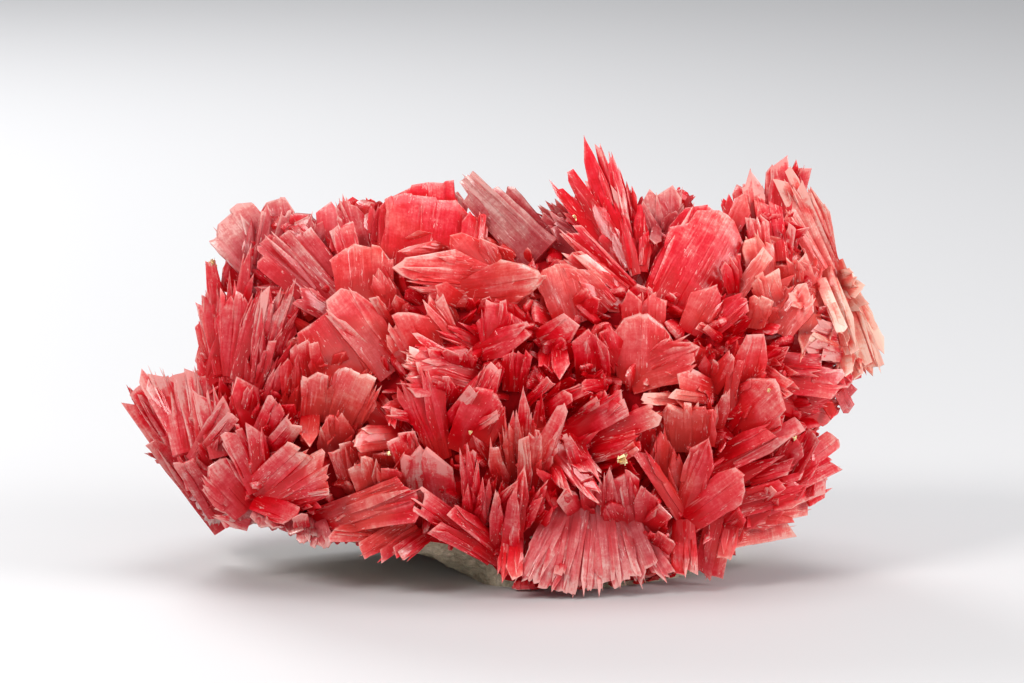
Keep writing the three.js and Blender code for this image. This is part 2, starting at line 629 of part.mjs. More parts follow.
function crystalsSolid() {
  const behind = [rootMass()];
  for (let spray = 0; spray < SPRAYS; spray += 1) {
    for (let blade = 0; blade < BLADES_IN_SPRAY; blade += 1) {
      behind.push(rearCrystal(spray, blade));
    }
  }
  const rear = wasm.Manifold.union(behind.map(toSolid)).subtract(toSolid(belowCrystals()));
  const front = Object.values(FRONT).flat().map(frontCrystal);
  const joined = wasm.Manifold.union([rear, ...front.map(toSolid)]);
  const ground = new THREE.BoxGeometry(2 * FAR, 2 * FAR, FAR).translate(0, 0, GROUND_CLEARANCE - FAR / 2);
  const cut = joined.subtract(toSolid(ground)).subtract(toSolid(matrixGeometry(JOINT_GAP)));
  // Cuts can leave crumbs, and joins can seal a small hollow. The largest piece has neither.
  const pieces = cut.decompose().sort((a, b) => b.volume() - a.volume());
  return pieces[0];
}

// ---- The scene ------------------------------------------------------------------------

const crystals = new THREE.Mesh(
  toGeometry(crystalsSolid()),
  new THREE.MeshStandardMaterial({ color: 0xd9565c, roughness: 0.28, metalness: 0 }),
);
crystals.name = 'crystals';

const matrix = new THREE.Mesh(
  matrixGeometry(0),
  new THREE.MeshStandardMaterial({ color: 0x8c7d64, roughness: 0.9, metalness: 0 }),
);
matrix.name = 'matrix';

const rhodonite = new THREE.Group();
rhodonite.add(matrix, crystals);

export default rhodonite;
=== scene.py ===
# %% [markdown]
# # A rhodonite specimen
#
# The object is a natural cluster of crystals: hundreds of flat, striated blades that grew in
# sprays, pale and frosty at their tips and deep red where the light has to find its way out
# between them. It stands on a piece of grey-brown rock, which a collector would call matrix.
#
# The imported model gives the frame, in metres, with the rock's flat cut on the ground. The
# lesson rebuilds each crystal as a broad striated plate with narrower blades grown onto it,
# because such a blade is many strips side by side that end at different places.

# %% Load the frame and note its size
import json
import math

import bpy
import numpy as np
from mathutils import Euler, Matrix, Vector
from mathutils.bvhtree import BVHTree

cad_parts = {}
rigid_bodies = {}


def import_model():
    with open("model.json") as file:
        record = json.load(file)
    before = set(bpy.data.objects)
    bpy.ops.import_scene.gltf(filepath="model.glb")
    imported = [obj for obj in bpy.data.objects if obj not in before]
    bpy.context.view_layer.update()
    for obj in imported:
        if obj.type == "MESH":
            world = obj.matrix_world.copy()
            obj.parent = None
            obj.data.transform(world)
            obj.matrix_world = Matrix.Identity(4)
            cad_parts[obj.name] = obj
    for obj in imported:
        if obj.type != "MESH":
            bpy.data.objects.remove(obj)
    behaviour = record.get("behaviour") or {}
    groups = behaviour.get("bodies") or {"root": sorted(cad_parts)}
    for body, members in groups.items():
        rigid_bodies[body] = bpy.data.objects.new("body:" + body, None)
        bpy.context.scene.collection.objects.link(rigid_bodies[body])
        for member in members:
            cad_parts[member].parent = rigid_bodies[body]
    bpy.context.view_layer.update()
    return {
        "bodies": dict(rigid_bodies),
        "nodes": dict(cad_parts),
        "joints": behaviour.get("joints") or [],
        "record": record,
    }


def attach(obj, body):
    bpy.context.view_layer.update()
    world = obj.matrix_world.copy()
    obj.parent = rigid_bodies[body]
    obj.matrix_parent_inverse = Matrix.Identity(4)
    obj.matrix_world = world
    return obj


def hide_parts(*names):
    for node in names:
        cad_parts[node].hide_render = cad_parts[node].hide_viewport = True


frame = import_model()
MM = 0.001
print("packed nodes:", len(frame["nodes"]))

# %% [markdown]
# ## The form
#
# Every crystal needs to know how deep the cluster is where it stands. The form answers that:
# level rings, each with its own reach to the left, right, front and back, in millimetres. The
# front crystals are placed on an upright chart that leans back ten degrees, because their
# faces are seen best from slightly above, and a chart place becomes a point in space by
# walking back until it meets the form.

# %% The form and the chart
FORM = np.array([
    # height, left, right, front, back
    (0, 26, 33, 25, 17),
    (5, 37, 42, 26, 20),
    (12, 47, 47, 28, 22),
    (21, 52, 49, 28, 24),
    (30, 48, 53, 27, 24),
    (39, 43, 51, 24, 22),
    (47, 41, 48, 18, 17),
    (53, 36, 44, 10, 11),
    (57, 22, 38, 3, 5),
], float)
FORM_POWER = 2.5
CHART_LEAN = math.radians(10)
CHART_PASSES = 6
INWARDS = np.array([0, math.cos(CHART_LEAN), -math.sin(CHART_LEAN)])


def form_at(z):
    """How far the form reaches to the left, right, front and back at a height."""
    return [float(np.interp(z, FORM[:, 0], FORM[:, side])) for side in range(1, 5)]


def front_of_form(x, z):
    """Where the form's front lies at a place across and a height."""
    left, right, front, _ = form_at(z)
    across = min(1.0, abs(x) / (left if x < 0 else right))
    return -front * (1 - across**FORM_POWER) ** (1 / FORM_POWER)


def point_of_form(angle, z, inset):
    """A point inside the form: angle 0 is to the right, a quarter turn is the back."""
    left, right, front, back = form_at(z)
    c, s = math.cos(angle), math.sin(angle)
    half_x = (left if c < 0 else right) - inset
    half_y = (front if s < 0 else back) - inset
    power = 2 / FORM_POWER
    return np.array([
        half_x * math.copysign(abs(c) ** power, c),
        half_y * math.copysign(abs(s) ** power, s),
        z,
    ])


def chart_point(x, chart_height, lift):
    """The point in space of a chart place, this far before the form."""
    y = z = 0.0
    for _ in range(CHART_PASSES):
        z = (chart_height - y * math.sin(CHART_LEAN)) / math.cos(CHART_LEAN)
        y = (y + front_of_form(x, z) - lift) / 2
    z = (chart_height - y * math.sin(CHART_LEAN)) / math.cos(CHART_LEAN)
    return np.array([x, y, z])


print("depth of the form at its middle, mm:", round(front_of_form(0, 25), 1))

# %% [markdown]
# ## The front crystals
#
# One row for each large crystal, region by region: its habit, the chart place of its root and
# of its tip (x and height, in millimetres), its width, its turn about its own length in
# degrees, how far it stands before the form, and its tone, from 0, deep red, to 1, pale, or a
# little past it for the palest.

# %% The chart of the front
FRONT = {
    "big pale plate and small blades at the top left corner": [
        ("round", -35, 45, -41.3, 53.4, 9.5, 12, -3, .95),
        ("round", -33, 46, -34.6, 55, 5, -10, -5, .8),
        ("lance", -38.4, 43, -37.8, 52.2, 1.8, 20, 1, .3),
        ("chisel", -36.6, 45, -34.8, 54.3, 2.6, 15, -1, .5),
        ("chisel", -34.6, 47, -33, 53.2, 2.2, -20, -1, .25),
        ("slab", -33.4, 48, -31.5, 53.3, 3, 10, -2, .95),
        ("chisel", -30.2, 46, -29, 52.8, 3.6, -15, -2, .75),
        ("chisel", -27.6, 46, -27.2, 51.8, 2.6, 10, -2, .5),
    ],
    "striated bars that cross the left shoulder": [
        ("slab", -25, 40, -34.3, 50.1, 3.4, -20, 2, .72),
        ("slab", -24.5, 43, -32.2, 51.3, 3.2, -10, 0, .35),
        ("slab", -27.5, 41, -36.4, 49, 3, 20, 1, .38),
        ("slab", -30, 40.5, -36.6, 46, 2.2, 10, 0, .22),
        ("slab", -25, 43.5, -30.4, 50.4, 2.8, -5, 1, .52),
        ("slab", -26.3, 38, -30.8, 41, 3.4, 15, 1, .5),
    ],
    "twin spikes on the left crest": [
        ("point", -25.2, 45, -26.3, 54.9, 3.8, 5, -2, .55),
        ("chisel", -21.3, 46, -24.1, 55.4, 4.8, -10, -2, .66),
        ("slab", -22.3, 44, -24.4, 51.4, 3.6, 10, 0, .7),
        ("chisel", -20.2, 46, -19.6, 53.7, 2.2, -15, -3, .6),
        ("slab", -18.4, 46, -18.3, 54, 3.2, 25, -2, .42),
    ],
    "broad plate at the middle of the left crest, in two layers": [
        ("round", -11.5, 44, -11.8, 57.5, 12, 0, -4, .42),
        ("round", -12, 43, -10.4, 55.2, 13, 5, -1, .45),
        ("slab", -17.4, 44, -17.2, 54.2, 2.8, -20, -1, .35),
        ("slab", -5.6, 44, -4.3, 53.4, 3.4, 20, -3, .45),
    ],
    "long pale bar with its striated face up, leaning left": [
        ("beam", 5.4, 46.4, -6.6, 58.6, 5.4, -12, -3, .92),
        ("slab", 7.5, 47, -1, 56.6, 3.6, -25, -6, .62),
        ("slab", 11, 47, 4.6, 52.2, 4.6, -15, -5, .58),
        ("slab", 11.5, 48.5, 6.6, 50.8, 3.4, 15, -6, .35),
        ("chisel", -6.8, 52, -8.9, 56.8, 2.2, 15, -6, .8),
    ],
    "ragged pale frond behind the crest": [
        ("lance", 10, 50, 4.8, 52.7, 1.3, 10, -8, .85),
        ("lance", 10, 50, 5.1, 54.2, 1.4, -5, -8, .85),
        ("lance", 10, 50.4, 6.2, 54.9, 1.8, 15, -8, .82),
        ("lance", 10.2, 50.6, 7.5, 55.1, 2, -10, -8, .85),
        ("lance", 10.4, 51, 8.9, 54.9, 2, 10, -8, .8),
    ],
    "tall red spray on the crest": [
        ("lance", 17, 46, 6.8, 57.9, 2.7, 15, 0, .2),
        ("lance", 17.4, 46, 9.6, 59, 2.5, -10, 0, .16),
        ("lance", 18.2, 45, 11.4, 64.2, 2.6, 10, -2, .4),
        ("lance", 18.6, 45, 13.8, 63.2, 2.4, -10, -3, .42),
        ("lance", 18.4, 45, 12.6, 61, 1.6, 20, -1, .55),
        ("lance", 19, 45, 15.5, 61.8, 2.3, 15, -3, .46),
        ("lance", 19.4, 45, 17, 59.4, 2.4, -10, -3, .48),
        ("lance", 19.8, 45, 18.2, 57.6, 2.5, 20, -3, .35),
        ("lance", 20.1, 45, 18.9, 56.5, 2, -20, -2, .3),
        ("bar", 16.4, 48.5, 12.4, 58.2, 1.4, 20, 1, .95),
        ("bar", 18.6, 48, 16.4, 57.6, 1.5, 0, 2, 1.1),
        ("bar", 13.6, 51.5, 10.4, 57.6, 1.2, 25, 1, .9),
        ("lance", 18, 44.5, 13.4, 54.6, 2.6, -10, 2, .1),
        ("lance", 18.6, 44.2, 15, 56.2, 2.4, 15, 2, .18),
        ("lance", 20.3, 44.5, 20.2, 54.2, 2.2, 0, -1, .28),
        ("lance", 20.5, 44, 20.9, 50.2, 1.8, 10, 0, .22),
        ("lance", 19.4, 43.5, 17.3, 52.5, 2, -20, 3, .15),
    ],
    "ragged pale cluster behind the spray": [
        ("round", 23.3, 47, 22, 56.5, 3.8, 10, -5, .74),
        ("round", 24.3, 47, 24.4, 56.9, 3.6, -10, -6, .8),
        ("lance", 25, 49, 26.3, 56.8, 1.4, 5, -6, .82),
        ("lance", 25.2, 50, 26.6, 54.3, 1.6, 10, -5, .76),
        ("chisel", 22.4, 46, 21, 55, 2.8, 20, -3, .6),
        ("chisel", 24.2, 49, 25.8, 53.2, 3.2, -10, -4, .56),
        ("round", 22.6, 50.5, 22.2, 48, 1.6, 0, 0, .78),
    ],
    "large smooth slab right of the spray": [
        ("round", 24.6, 38.4, 32.6, 52.6, 10.8, 4, 0, .6),
        ("round", 25.4, 38.6, 30.6, 53.8, 8.6, -6, -3, .5),
    ],
    "blocks below the large slab": [
        ("chisel", 27.2, 35, 31.2, 42.6, 5, 10, 2, .46),
        ("slab", 29.8, 35, 35.8, 40.6, 3.6, -10, 2, .36),
        ("slab", 31.9, 34.2, 28.3, 36.2, 1.2, 10, 3, .62),
        ("slab", 31.8, 33.8, 29.3, 36, 1, -10, 3, .66),
        ("round", 33.6, 41, 32.4, 45.5, 1.6, 20, 1, .6),
        ("round", 34.1, 41, 33.6, 46.3, 1.5, -20, 1, .52),
        ("chisel", 34.4, 41.5, 34.6, 46.9, 1.3, 10, 0, .55),
    ],
    "peaks of the right crest": [
        ("chisel", 34.5, 49.5, 32.9, 55.9, 2.4, 10, -2.5, .69),
        ("lance", 36, 49, 35, 57.2, 2.6, -10, -2.5, .94),
        ("lance", 37.8, 48, 36.6, 59.5, 3.2, 10, -1.5, .99),
        ("round", 33.6, 50, 36.3, 55.6, 2.8, -10, 1.5, .53),
        ("lance", 38.6, 48, 38, 57.6, 2.8, -15, -1.5, .79),
        ("lance", 40, 48, 39.8, 60.1, 2.6, 10, -1.5, .91),
        ("chisel", 41, 48, 41.4, 62, 3.2, -10, -.5, .77),
        ("chisel", 43.2, 52, 43.3, 61.3, 2.6, 10, -1.5, .71),
        ("slab", 43.3, 53, 44.9, 60, 2.2, 35, -1.5, .81),
        ("slab", 40.3, 45.5, 39, 55.2, 3.8, 10, .5, .71),
        ("slab", 38.3, 45.5, 37.3, 52.8, 3.2, -10, 1.5, .75),
        ("slab", 41.3, 45.5, 42, 53.4, 2.8, 15, .5, .61),
        ("slab", 42.2, 47, 42.8, 51.4, 1.1, 0, 2.5, 1.04),
    ],
    "sheaf of long laths down the right edge, upper half": [
        ("bar", 48, 44, 40.9, 59.2, 2.88, 10, 3, 1.02),
        ("bar", 48.6, 44.4, 42.6, 57.6, 2.88, -10, 4, 1.05),
        ("bar", 49, 45, 44, 56.4, 2.64, 10, 3, .95),
        ("chisel", 49.2, 45, 45, 57.2, 2.88, -10, 1, .89),
        ("round", 48.6, 46, 46.2, 56.2, 2.88, 10, -1, .77),
        ("round", 48.2, 48, 47.2, 54.2, 1.98, 10, -1, .72),
        ("bar", 47.4, 44.2, 41.9, 53.6, 2.2, 20, 3, .92),
    ],
    "the same sheaf, lower half": [
        ("slab", 48.5, 45.5, 53.6, 29.2, 2.88, -10, 4, 1.13),
        ("slab", 49.3, 45.5, 55.5, 29, 2.88, 10, 4, 1.07),
        ("chisel", 49.6, 45, 56.6, 31, 2.76, -10, 2, 1.15),
        ("chisel", 49.8, 44, 55.2, 34.2, 2.64, 15, 0, 1.15),
        ("slab", 47.8, 44.5, 51.8, 31.5, 2.2, 15, 4, 1.07),
        ("slab", 47, 43, 50.3, 34.6, 1.76, -15, 4, 1.15),
        ("slab", 49.8, 43, 52.6, 43.3, 2.88, 10, 1, 1.5),
        ("slab", 50, 42.4, 53.2, 41, 2.2, -10, 1, 1.5),
        ("slab", 50.8, 41.5, 53.8, 38.3, 2.2, 10, 0, 1.5),
        ("chisel", 52, 34.5, 52.3, 28, 2.2, 10, 2, 1.02),
        ("chisel", 53, 34, 54.4, 28.3, 2.64, -10, 2, 1.07),
        ("chisel", 51, 33.5, 50.6, 28.3, 1.98, 10, 1, 1.07),
        ("slab", 50, 32, 45, 34.4, 1.98, 15, 2, 1.15),
    ],
    "pale prisms in the crook of the sheaf": [
        ("bar", 50.3, 33.2, 44.2, 33.3, 2.53, 10, 3, 1.45),
        ("bar", 50.2, 34.8, 45.5, 36.3, 2.07, -10, 3, 1.45),
        ("bar", 50.2, 31.5, 46.8, 31.8, 1.61, 10, 2, 1.45),
    ],
    "blocks inside the right shoulder": [
        ("slab", 38.4, 42.5, 37, 50.1, 4.6, 20, 1, .64),
        ("slab", 34.4, 40.3, 39.3, 47.4, 2, -15, 2, .72),
        ("slab", 39.8, 38, 38.2, 44.2, 4.4, 10, 1, .58),
        ("slab", 42.4, 41.5, 41.6, 46.4, 3.6, -10, 0, .62),
        ("slab", 45.4, 42, 43.4, 46.4, 2.6, 15, 0, .68),
        ("slab", 40.3, 35, 45.2, 42.5, 5.4, -10, 2, .7),
        ("slab", 45.9, 40.5, 42.2, 39.8, 2, 10, 2, .9),
        ("slab", 36.9, 35.8, 38.2, 40.6, 3.4, 15, 2, .54),
    ],
    "standing slabs right of the middle": [
        ("slab", 21.2, 33, 21.6, 41.4, 4.4, 10, 0, .5),
        ("round", 18.9, 33, 18.7, 41.4, 2.8, -15, 1, .58),
        ("round", 20.2, 27.6, 20.6, 37.8, 8, 0, 2, .6),
        ("leaf", 18.6, 29, 28.8, 33.4, 4.8, 5, 3, .58),
        ("slab", 18.8, 27.5, 28.6, 30.6, 3.2, -10, 3, .5),
        ("round", 31, 26.2, 25.3, 28.6, 3.4, 5, 4, .75),
        ("slab", 28.6, 25.4, 19.9, 25.3, 1.6, 10, 5, 1),
        ("slab", 30.8, 25, 24, 26.2, 1.4, -10, 5, .9),
        ("slab", 27.2, 18, 27.2, 25, 7.4, 0, 3, .4),
        ("lance", 31.4, 21, 32.8, 26.8, 2.2, 10, 4, .75),
        ("lance", 30.6, 26.5, 33.4, 32.2, 2.8, -10, 4, .56),
        ("slab", 32.8, 22.5, 34, 31.5, 1.9, 10, 3, .3),
    ],
    "big bent crystal and the glassy bars on it": [
        ("round", 35.2, 24, 37, 34.8, 4.2, 10, 4, .66),
        ("round", 34.8, 21.5, 40.8, 27.2, 7.4, 0, 5, .66),
        ("slab", 37.4, 30, 42.3, 26.9, 1.6, 10, 5, .92),
        ("slab", 37.4, 28.6, 42, 25.4, 1.4, -10, 6, .9),
    ],
    "dark slabs of the right flank": [
        ("bar", 40.6, 25.6, 50.2, 23, 4.8, 4, 1.6, .46),
        ("bar", 41.2, 28.2, 50.8, 27.2, 4.2, -8, 1.6, .6),
        ("bar", 38.8, 31, 48, 30.2, 2.8, 8, 1.6, .62),
        ("chisel", 38.4, 30.2, 42.4, 32.4, 2.8, -10, 2, .5),
        ("slab", 49.2, 28.4, 52, 25.8, 2, 10, 0, .56),
        ("slab", 49.8, 26.4, 51.9, 23, 2, -10, 0, .56),
        ("slab", 48.8, 29.6, 51.8, 27.4, 1.8, 10, 0, .6),
    ],
    "long diagonal bar and its neighbours": [
        ("slab", 30.2, 14.6, 44.3, 22, 2.3, 5, 5, .56),
        ("slab", 31.6, 16.6, 40, 21, 2.2, -10, 4, .28),
        ("slab", 34.8, 17.8, 41.8, 22.6, 2, 10, 4, .34),
        ("slab", 40, 14.6, 43.6, 19.4, 3.8, 10, 2, .5),
        ("slab", 36.3, 13.3, 43.4, 15.6, 2, -10, 3, .52),
    ],
    "fan at the lower right edge": [
        ("bar", 38, 12.4, 49.2, 20.4, 4.6, 4, 2, .66),
        ("bar", 38.4, 11.2, 49.4, 16.6, 4.4, -8, 2.2, .76),
        ("bar", 38.6, 9.8, 48.8, 13.6, 4, 8, 2, .84),
        ("slab", 41.8, 12.4, 46.2, 20.6, 2.2, -15, 1, .5),
        ("slab", 45, 10.2, 48.9, 12.4, 2.4, 10, 0, .66),
        ("bar", 35.6, 8, 47.2, 10, 3.6, 8, 1.4, .8),
        ("bar", 33.8, 9.4, 45.4, 12.6, 4, 5, 1.6, .5),
        ("bar", 33, 4.8, 43.8, 6.6, 3.8, -4, 1, .84),
        ("slab", 34, 10.4, 41.8, 12.6, 2, 10, 2, .42),
        ("slab", 38.2, 10.4, 39.8, 12, 1.2, 0, 3, .95),
    ],
    "plates that meet at the lower right": [
        ("round", 27, 7.6, 35.6, 13.8, 5.2, 5, 5, .5),
        ("slab", 26.4, 7.2, 19.2, 18.4, 1.7, 10, 5, .32),
        ("chisel", 26.4, 8.6, 30.2, 20, 4, 5, 4, .5),
        ("slab", 26.5, 7.4, 26.6, -1.2, 3.8, 10, 3, .6),
        ("slab", 33.2, 8.6, 30.9, -1.6, 2.6, -10, 2, .56),
        ("slab", 31.2, 8, 29, -1.9, 2.6, 10, 2, .44),
        ("slab", 34.2, 9.4, 32.4, 1.2, 2, 10, 2, .52),
    ],
    "curtain along the bottom edge": [
        ("drape", 9.8, 12, 2.4, -2.4, 3.4, 8, 1.4, .8),
        ("drape", 10.4, 9, 4.8, -3.1, 4.4, -8, 1.8, .76),
        ("drape", 11.2, 12.6, 7.8, -3.9, 4.8, 6, 1.6, .8),
        ("drape", 12.6, 8.6, 11.4, -4.1, 5, -5, 2, .82),
        ("drape", 13.6, 12.4, 14.8, -3.6, 4.8, 6, 1.6, .78),
        ("drape", 15, 9.4, 18.2, -2.8, 4.6, -8, 2, .84),
        ("drape", 16.4, 11.6, 21.8, -2.2, 4, 8, 1.6, .8),
        ("drape", 18, 8.4, 24.6, -1.6, 3.4, -6, 1.8, .76),
        ("slab", 8.6, 3, 7.8, -1, 1.2, 10, 3, .88),
    ],
    "knobs above the curtain": [
        ("round", 10.4, 8.6, 8.4, 12, 2.8, 5, 3.4, 1),
        ("chisel", 18.8, 6.6, 17.4, 15, 3.8, 5, 3, .66),
        ("chisel", 15, 6.6, 15.8, 15.4, 2.6, -10, 4, .72),
        ("chisel", 12.6, 9, 12.4, 14.2, 2.4, 12, 3, .7),
        ("round", 20.6, 6.4, 20.8, 12.4, 3, 10, 2.6, .5),
        ("slab", 22.8, 2.4, 24, 5.2, 3, -10, 3, .6),
        ("slab", 21.2, 6.4, 23.8, 9, 2.6, 10, 3, .54),
    ],
    "spray of lances in the lower middle": [
        ("lance", 2.6, 15, 3, 27.2, 2.375, 5, 6, .8),
        ("lance", 3.2, 11.5, 8.8, 24.6, 3, -10, 7, .95),
        ("lance", 1.2, 14.5, .9, 23.6, 1.75, 10, 6, .74),
        ("lance", 2, 14.5, 2.1, 23.8, 1.625, -10, 6, .88),
        ("lance", 1.2, 13, .1, 22.8, 1.5, 5, 5, .7),
        ("lance", 3.2, 10.6, 4.3, 20.9, 2.625, 10, 6, .74),
        ("lance", 2.6, 9.8, 3.2, 20, 2.125, -10, 6, .7),
        ("lance", 3.8, 11.6, 5, 20.6, 1.75, 5, 6, .78),
        ("lance", 1, 2, 2.7, 15.4, 2.875, 5, 6, .76),
        ("lance", .4, -.6, 1.6, 13.2, 2.625, -10, 5, .7),
        ("chisel", .2, 5.6, -.3, -2, 1.375, 10, 3, .72),
        ("chisel", 2, 5.4, 1.2, -1.8, 2.375, -10, 3, .66),
        ("lance", 2.8, 6.6, 6.3, 13.6, 2.375, 10, 5, .7),
        ("lance", 2.4, 6.2, 5.8, 11, 1.875, -10, 5, .66),
        ("lance", -1.4, 8.4, 1.9, 13.2, 2.125, 5, 6, .86),
        ("lance", -.5, 11.5, -2, 20, 2.25, 5, 7, .86),
        ("lance", -4.6, 6, -6.8, 18.4, 1.5, 10, 5, .7),
        ("lance", -4.6, 6.2, -5.2, 19.2, 1.875, -10, 6, .76),
        ("lance", -4.2, 6, -4.1, 16.2, 1.375, 10, 5, .66),
        ("lance", -3.8, 6, -3.1, 13.6, 1.5, -10, 5, .66),
        ("lance", -5.2, 6.4, -5.7, 13, 1.5, 10, 6, .72),
        ("lance", -3.4, 6, -2, 13.8, 1.25, -10, 4, .62),
        ("lance", -1.4, 3, -1.2, 12.2, 1.875, 10, 5, .74),
    ],
    "leaning leaf right of the spray": [
        ("lance", 6, 19.8, 14, 10.4, 5, 5, 5, .8),
        ("lance", 12.4, 11.6, 8.9, 20.4, 2.4, -10, 6, .8),
        ("lance", 8.4, 20.6, 14.2, 12.6, 3, -12, 4.4, .74),
        ("lance", 5.8, 17.2, 10, 11.2, 2, 12, 5, .84),
    ],
    "feathered plates left of the middle": [
        ("slab", -9.2, 21, -4.2, 27, 1.7, 10, 5, .95),
        ("leaf", -6.4, 20, -1.4, 30.6, 3.6, -10, 4, .74),
        ("round", -6, 17.6, -1.6, 26.2, 6.6, 5, 3, .46),
        ("slab", -5.6, 20, -.8, 23.2, 1.2, -10, 5, .84),
        ("fan", -9.2, 16.6, -13.4, 29.6, 5.6, 0, 3, .5),
        ("fan", -3.2, 27.4, -15.6, 31, 7.2, 8, 4, .72),
        ("slab", -5, 29.6, -14.8, 31.2, 1.8, 10, 4, .96),
        ("slab", -3.8, 30, -13.4, 29.4, 2.2, -10, 4, .84),
        ("chisel", -7, 29, -11.4, 32.8, 2.4, 10, 4, .82),
        ("chisel", -7.6, 29, -7.9, 32.8, 2.2, -10, 4, .76),
        ("lance", -5.8, 29, -5.1, 33, 2, 10, 4, .8),
        ("chisel", -8.8, 24, -7.4, 28.6, 3, 10, 4, .6),
    ],
    "smooth slabs of the left middle": [
        ("round", -21, 28, -27.4, 38, 9.6, 0, 1, .42),
        ("round", -16.2, 29.4, -24.8, 41, 6, 10, 3, .62),
        ("slab", -17.4, 30, -26.2, 38.4, 1.4, -25, 4, .96),
        ("chisel", -28.4, 26.6, -29.2, 34.3, 2.8, 10, 3, .7),
        ("chisel", -30.6, 24.8, -30.3, 33.6, 2.4, -10, 2, .62),
        ("round", -31.9, 25.2, -32, 31.2, 2.2, 10, 1, .5),
        ("lance", -27.4, 26.8, -27.8, 33.6, 2, 10, 3, .56),
    ],
    "broad slab with its end striated": [
        ("slab", -27.6, 22.2, -26.6, 29.4, 5.6, 5, 4, .62),
        ("slab", -23.6, 22.2, -20.4, 29.5, 6.6, -5, 4, .62),
    ],
    "small plates below it": [
        ("round", -28.4, 24, -29, 18.2, 2.8, 10, 2, .56),
        ("lance", -26.6, 17, -26.4, 22.6, 1.5, -10, 3, .76),
        ("slab", -24.6, 17.8, -24, 23.4, 4.2, 5, 1, .54),
        ("slab", -15.6, 19.6, -22.5, 19.4, 3.8, 5, 3, .66),
        ("slab", -13.8, 15.2, -15.4, 20.4, 4.4, 20, 4, .92),
        ("slab", -19.8, 11.4, -21, 17, 4.4, 5, 4, .62),
        ("slab", -16.4, 11.2, -16.6, 15.4, 2.8, -10, 3, .56),
        ("slab", -22.8, 13.4, -24, 18.7, 4, 10, 2, .6),
        ("lance", -16.8, 24.2, -16.4, 20.8, 1.6, 10, 3, .7),
        ("slab", -11.2, 22, -17, 23.4, 1.3, -10, 2, .8),
        ("slab", -12.6, 24.6, -18, 24, 1.6, 10, 1, .5),
    ],
    "bright double point": [
        ("point", -12.4, 10.8, -12.5, 19, 3.6, 8, 6, 1.25),
        ("point", -9.4, 10.4, -10.6, 18.8, 4.6, -12, 6, 1.05),
        ("point", -14.2, 12, -14.3, 17.6, 1.8, 20, 7, 1.2),
    ],
    "long bars of the lower left": [
        ("slab", -28.6, 6.8, -13.4, 12.6, 3.8, 5, 4, .66),
        ("slab", -27.2, 6.2, -11.4, 8.8, 2.5, -10, 4, .42),
        ("slab", -26, 7, -12, 10.6, 2.8, 10, 4, .48),
        ("slab", -.6, 1.8, -13.4, 10.8, 3, 5, 5, .66),
        ("slab", -2.2, 1.9, -11, 6.8, 2.3, -10, 4, .5),
        ("slab", -1, 3.2, -8.2, 9.4, 2, 10, 4, .44),
        ("slab", -14.8, 6.6, -21.6, 2.5, 2.4, 5, 2, .5),
        ("slab", -12.6, 5.9, -18.9, 1.6, 1.7, -10, 2, .56),
        ("slab", -11.6, 5.6, -16.6, 2.3, 1.6, 10, 2, .5),
        ("slab", -11, 5.2, -15.4, 2, 1.5, -10, 2, .46),
        ("slab", -16.8, 5.2, -26.4, 5.2, 2, 10, 1, .6),
        ("slab", -29.4, 4.4, -30.3, 8.6, 2.2, 5, 2, .86),
    ],
    "sheaf of curved plates at the lower left": [
        ("slab", -37.2, 11.4, -29.4, 18.4, 4, 10, 2, .72),
        ("slab", -36, 10.4, -25.4, 16.6, 3.6, -10, 3, .56),
        ("slab", -35, 9.6, -25, 13.2, 3, 10, 3, .44),
        ("slab", -31.4, 11, -25.8, 11.7, .9, 0, 4, 1),
        ("slab", -37, 10.2, -30.6, 7.8, 3, -10, 1, .66),
    ],
    "bars that stand inside the left lobe": [
        ("slab", -36.4, 11.8, -40.7, 21.2, 3.2, 10, 2, .74),
        ("slab", -35.8, 12.6, -36.8, 22.2, 2.6, -10, 1, .56),
        ("round", -37.2, 21, -38.8, 28.7, 3.6, 10, 1, .72),
        ("slab", -36, 19.6, -33.2, 25.2, 3.2, -10, 2, .74),
        ("slab", -34.4, 17.8, -30.6, 22, 3, 10, 2, .98),
        ("chisel", -38.8, 21.8, -37.4, 27.2, 1.5, 15, 2, .72),
        ("round", -33.4, 21.6, -31.5, 24.8, 3, 10, 0, .32),
        ("slab", -46.5, 16, -40.6, 25.2, 2.1, -10, 3, 1),
        ("slab", -45, 17, -39.8, 22.9, 1.9, 10, 2, .94),
    ],
    "left lobe: long bars that lean out to the left": [
        ("bar", -44.8, 10, -53, 27.4, 4.6, 0, .6, .92),
        ("bar", -45.4, 12, -50.4, 29.4, 4.2, 6, 1.2, .98),
        ("slab", -43.4, 7.6, -56.2, 26.6, 3.9, 5, 0, .74),
        ("slab", -43, 8.8, -55, 27.8, 3.9, -10, 1, .9),
        ("slab", -42.4, 9.6, -51.8, 30.5, 3.9, 10, 0, .86),
        ("bar", -44, 13.6, -48.1, 30.4, 3.2, 8, 2, 1.1),
        ("slab", -43.4, 14.6, -45.8, 30.4, 3.25, 10, 1, 1.06),
        ("slab", -42, 16.6, -44.6, 27.4, 3.38, -10, 0, .92),
        ("lance", -53, 21, -56.6, 27.2, 1.4, 5, -1, .8),
        ("lance", -49.6, 15.4, -53.7, 17, 1.1, 10, -2, .8),
        ("bar", -47.4, 17, -50, 29, 3.9, -2, 0, .96),
        ("slab", -41.4, 6.6, -51.4, 20.8, 5.98, 5, 2, .8),
        ("slab", -41.8, 8.4, -46.8, 17.4, 5.2, -10, 2, .72),
        ("chisel", -48.6, 19, -54.3, 30.2, 2.8, 10, -1, .8),
        ("slab", -38, 9.2, -43.6, 15.8, 6.5, 5, 1, .74),
        ("slab", -37.6, 7.4, -43.2, 9.4, 4.42, -10, 0, 1.1),
    ],
    "left spray": [
        ("fan", -41.4, 28.5, -42.8, 42.4, 5.6, 5, 0, .68),
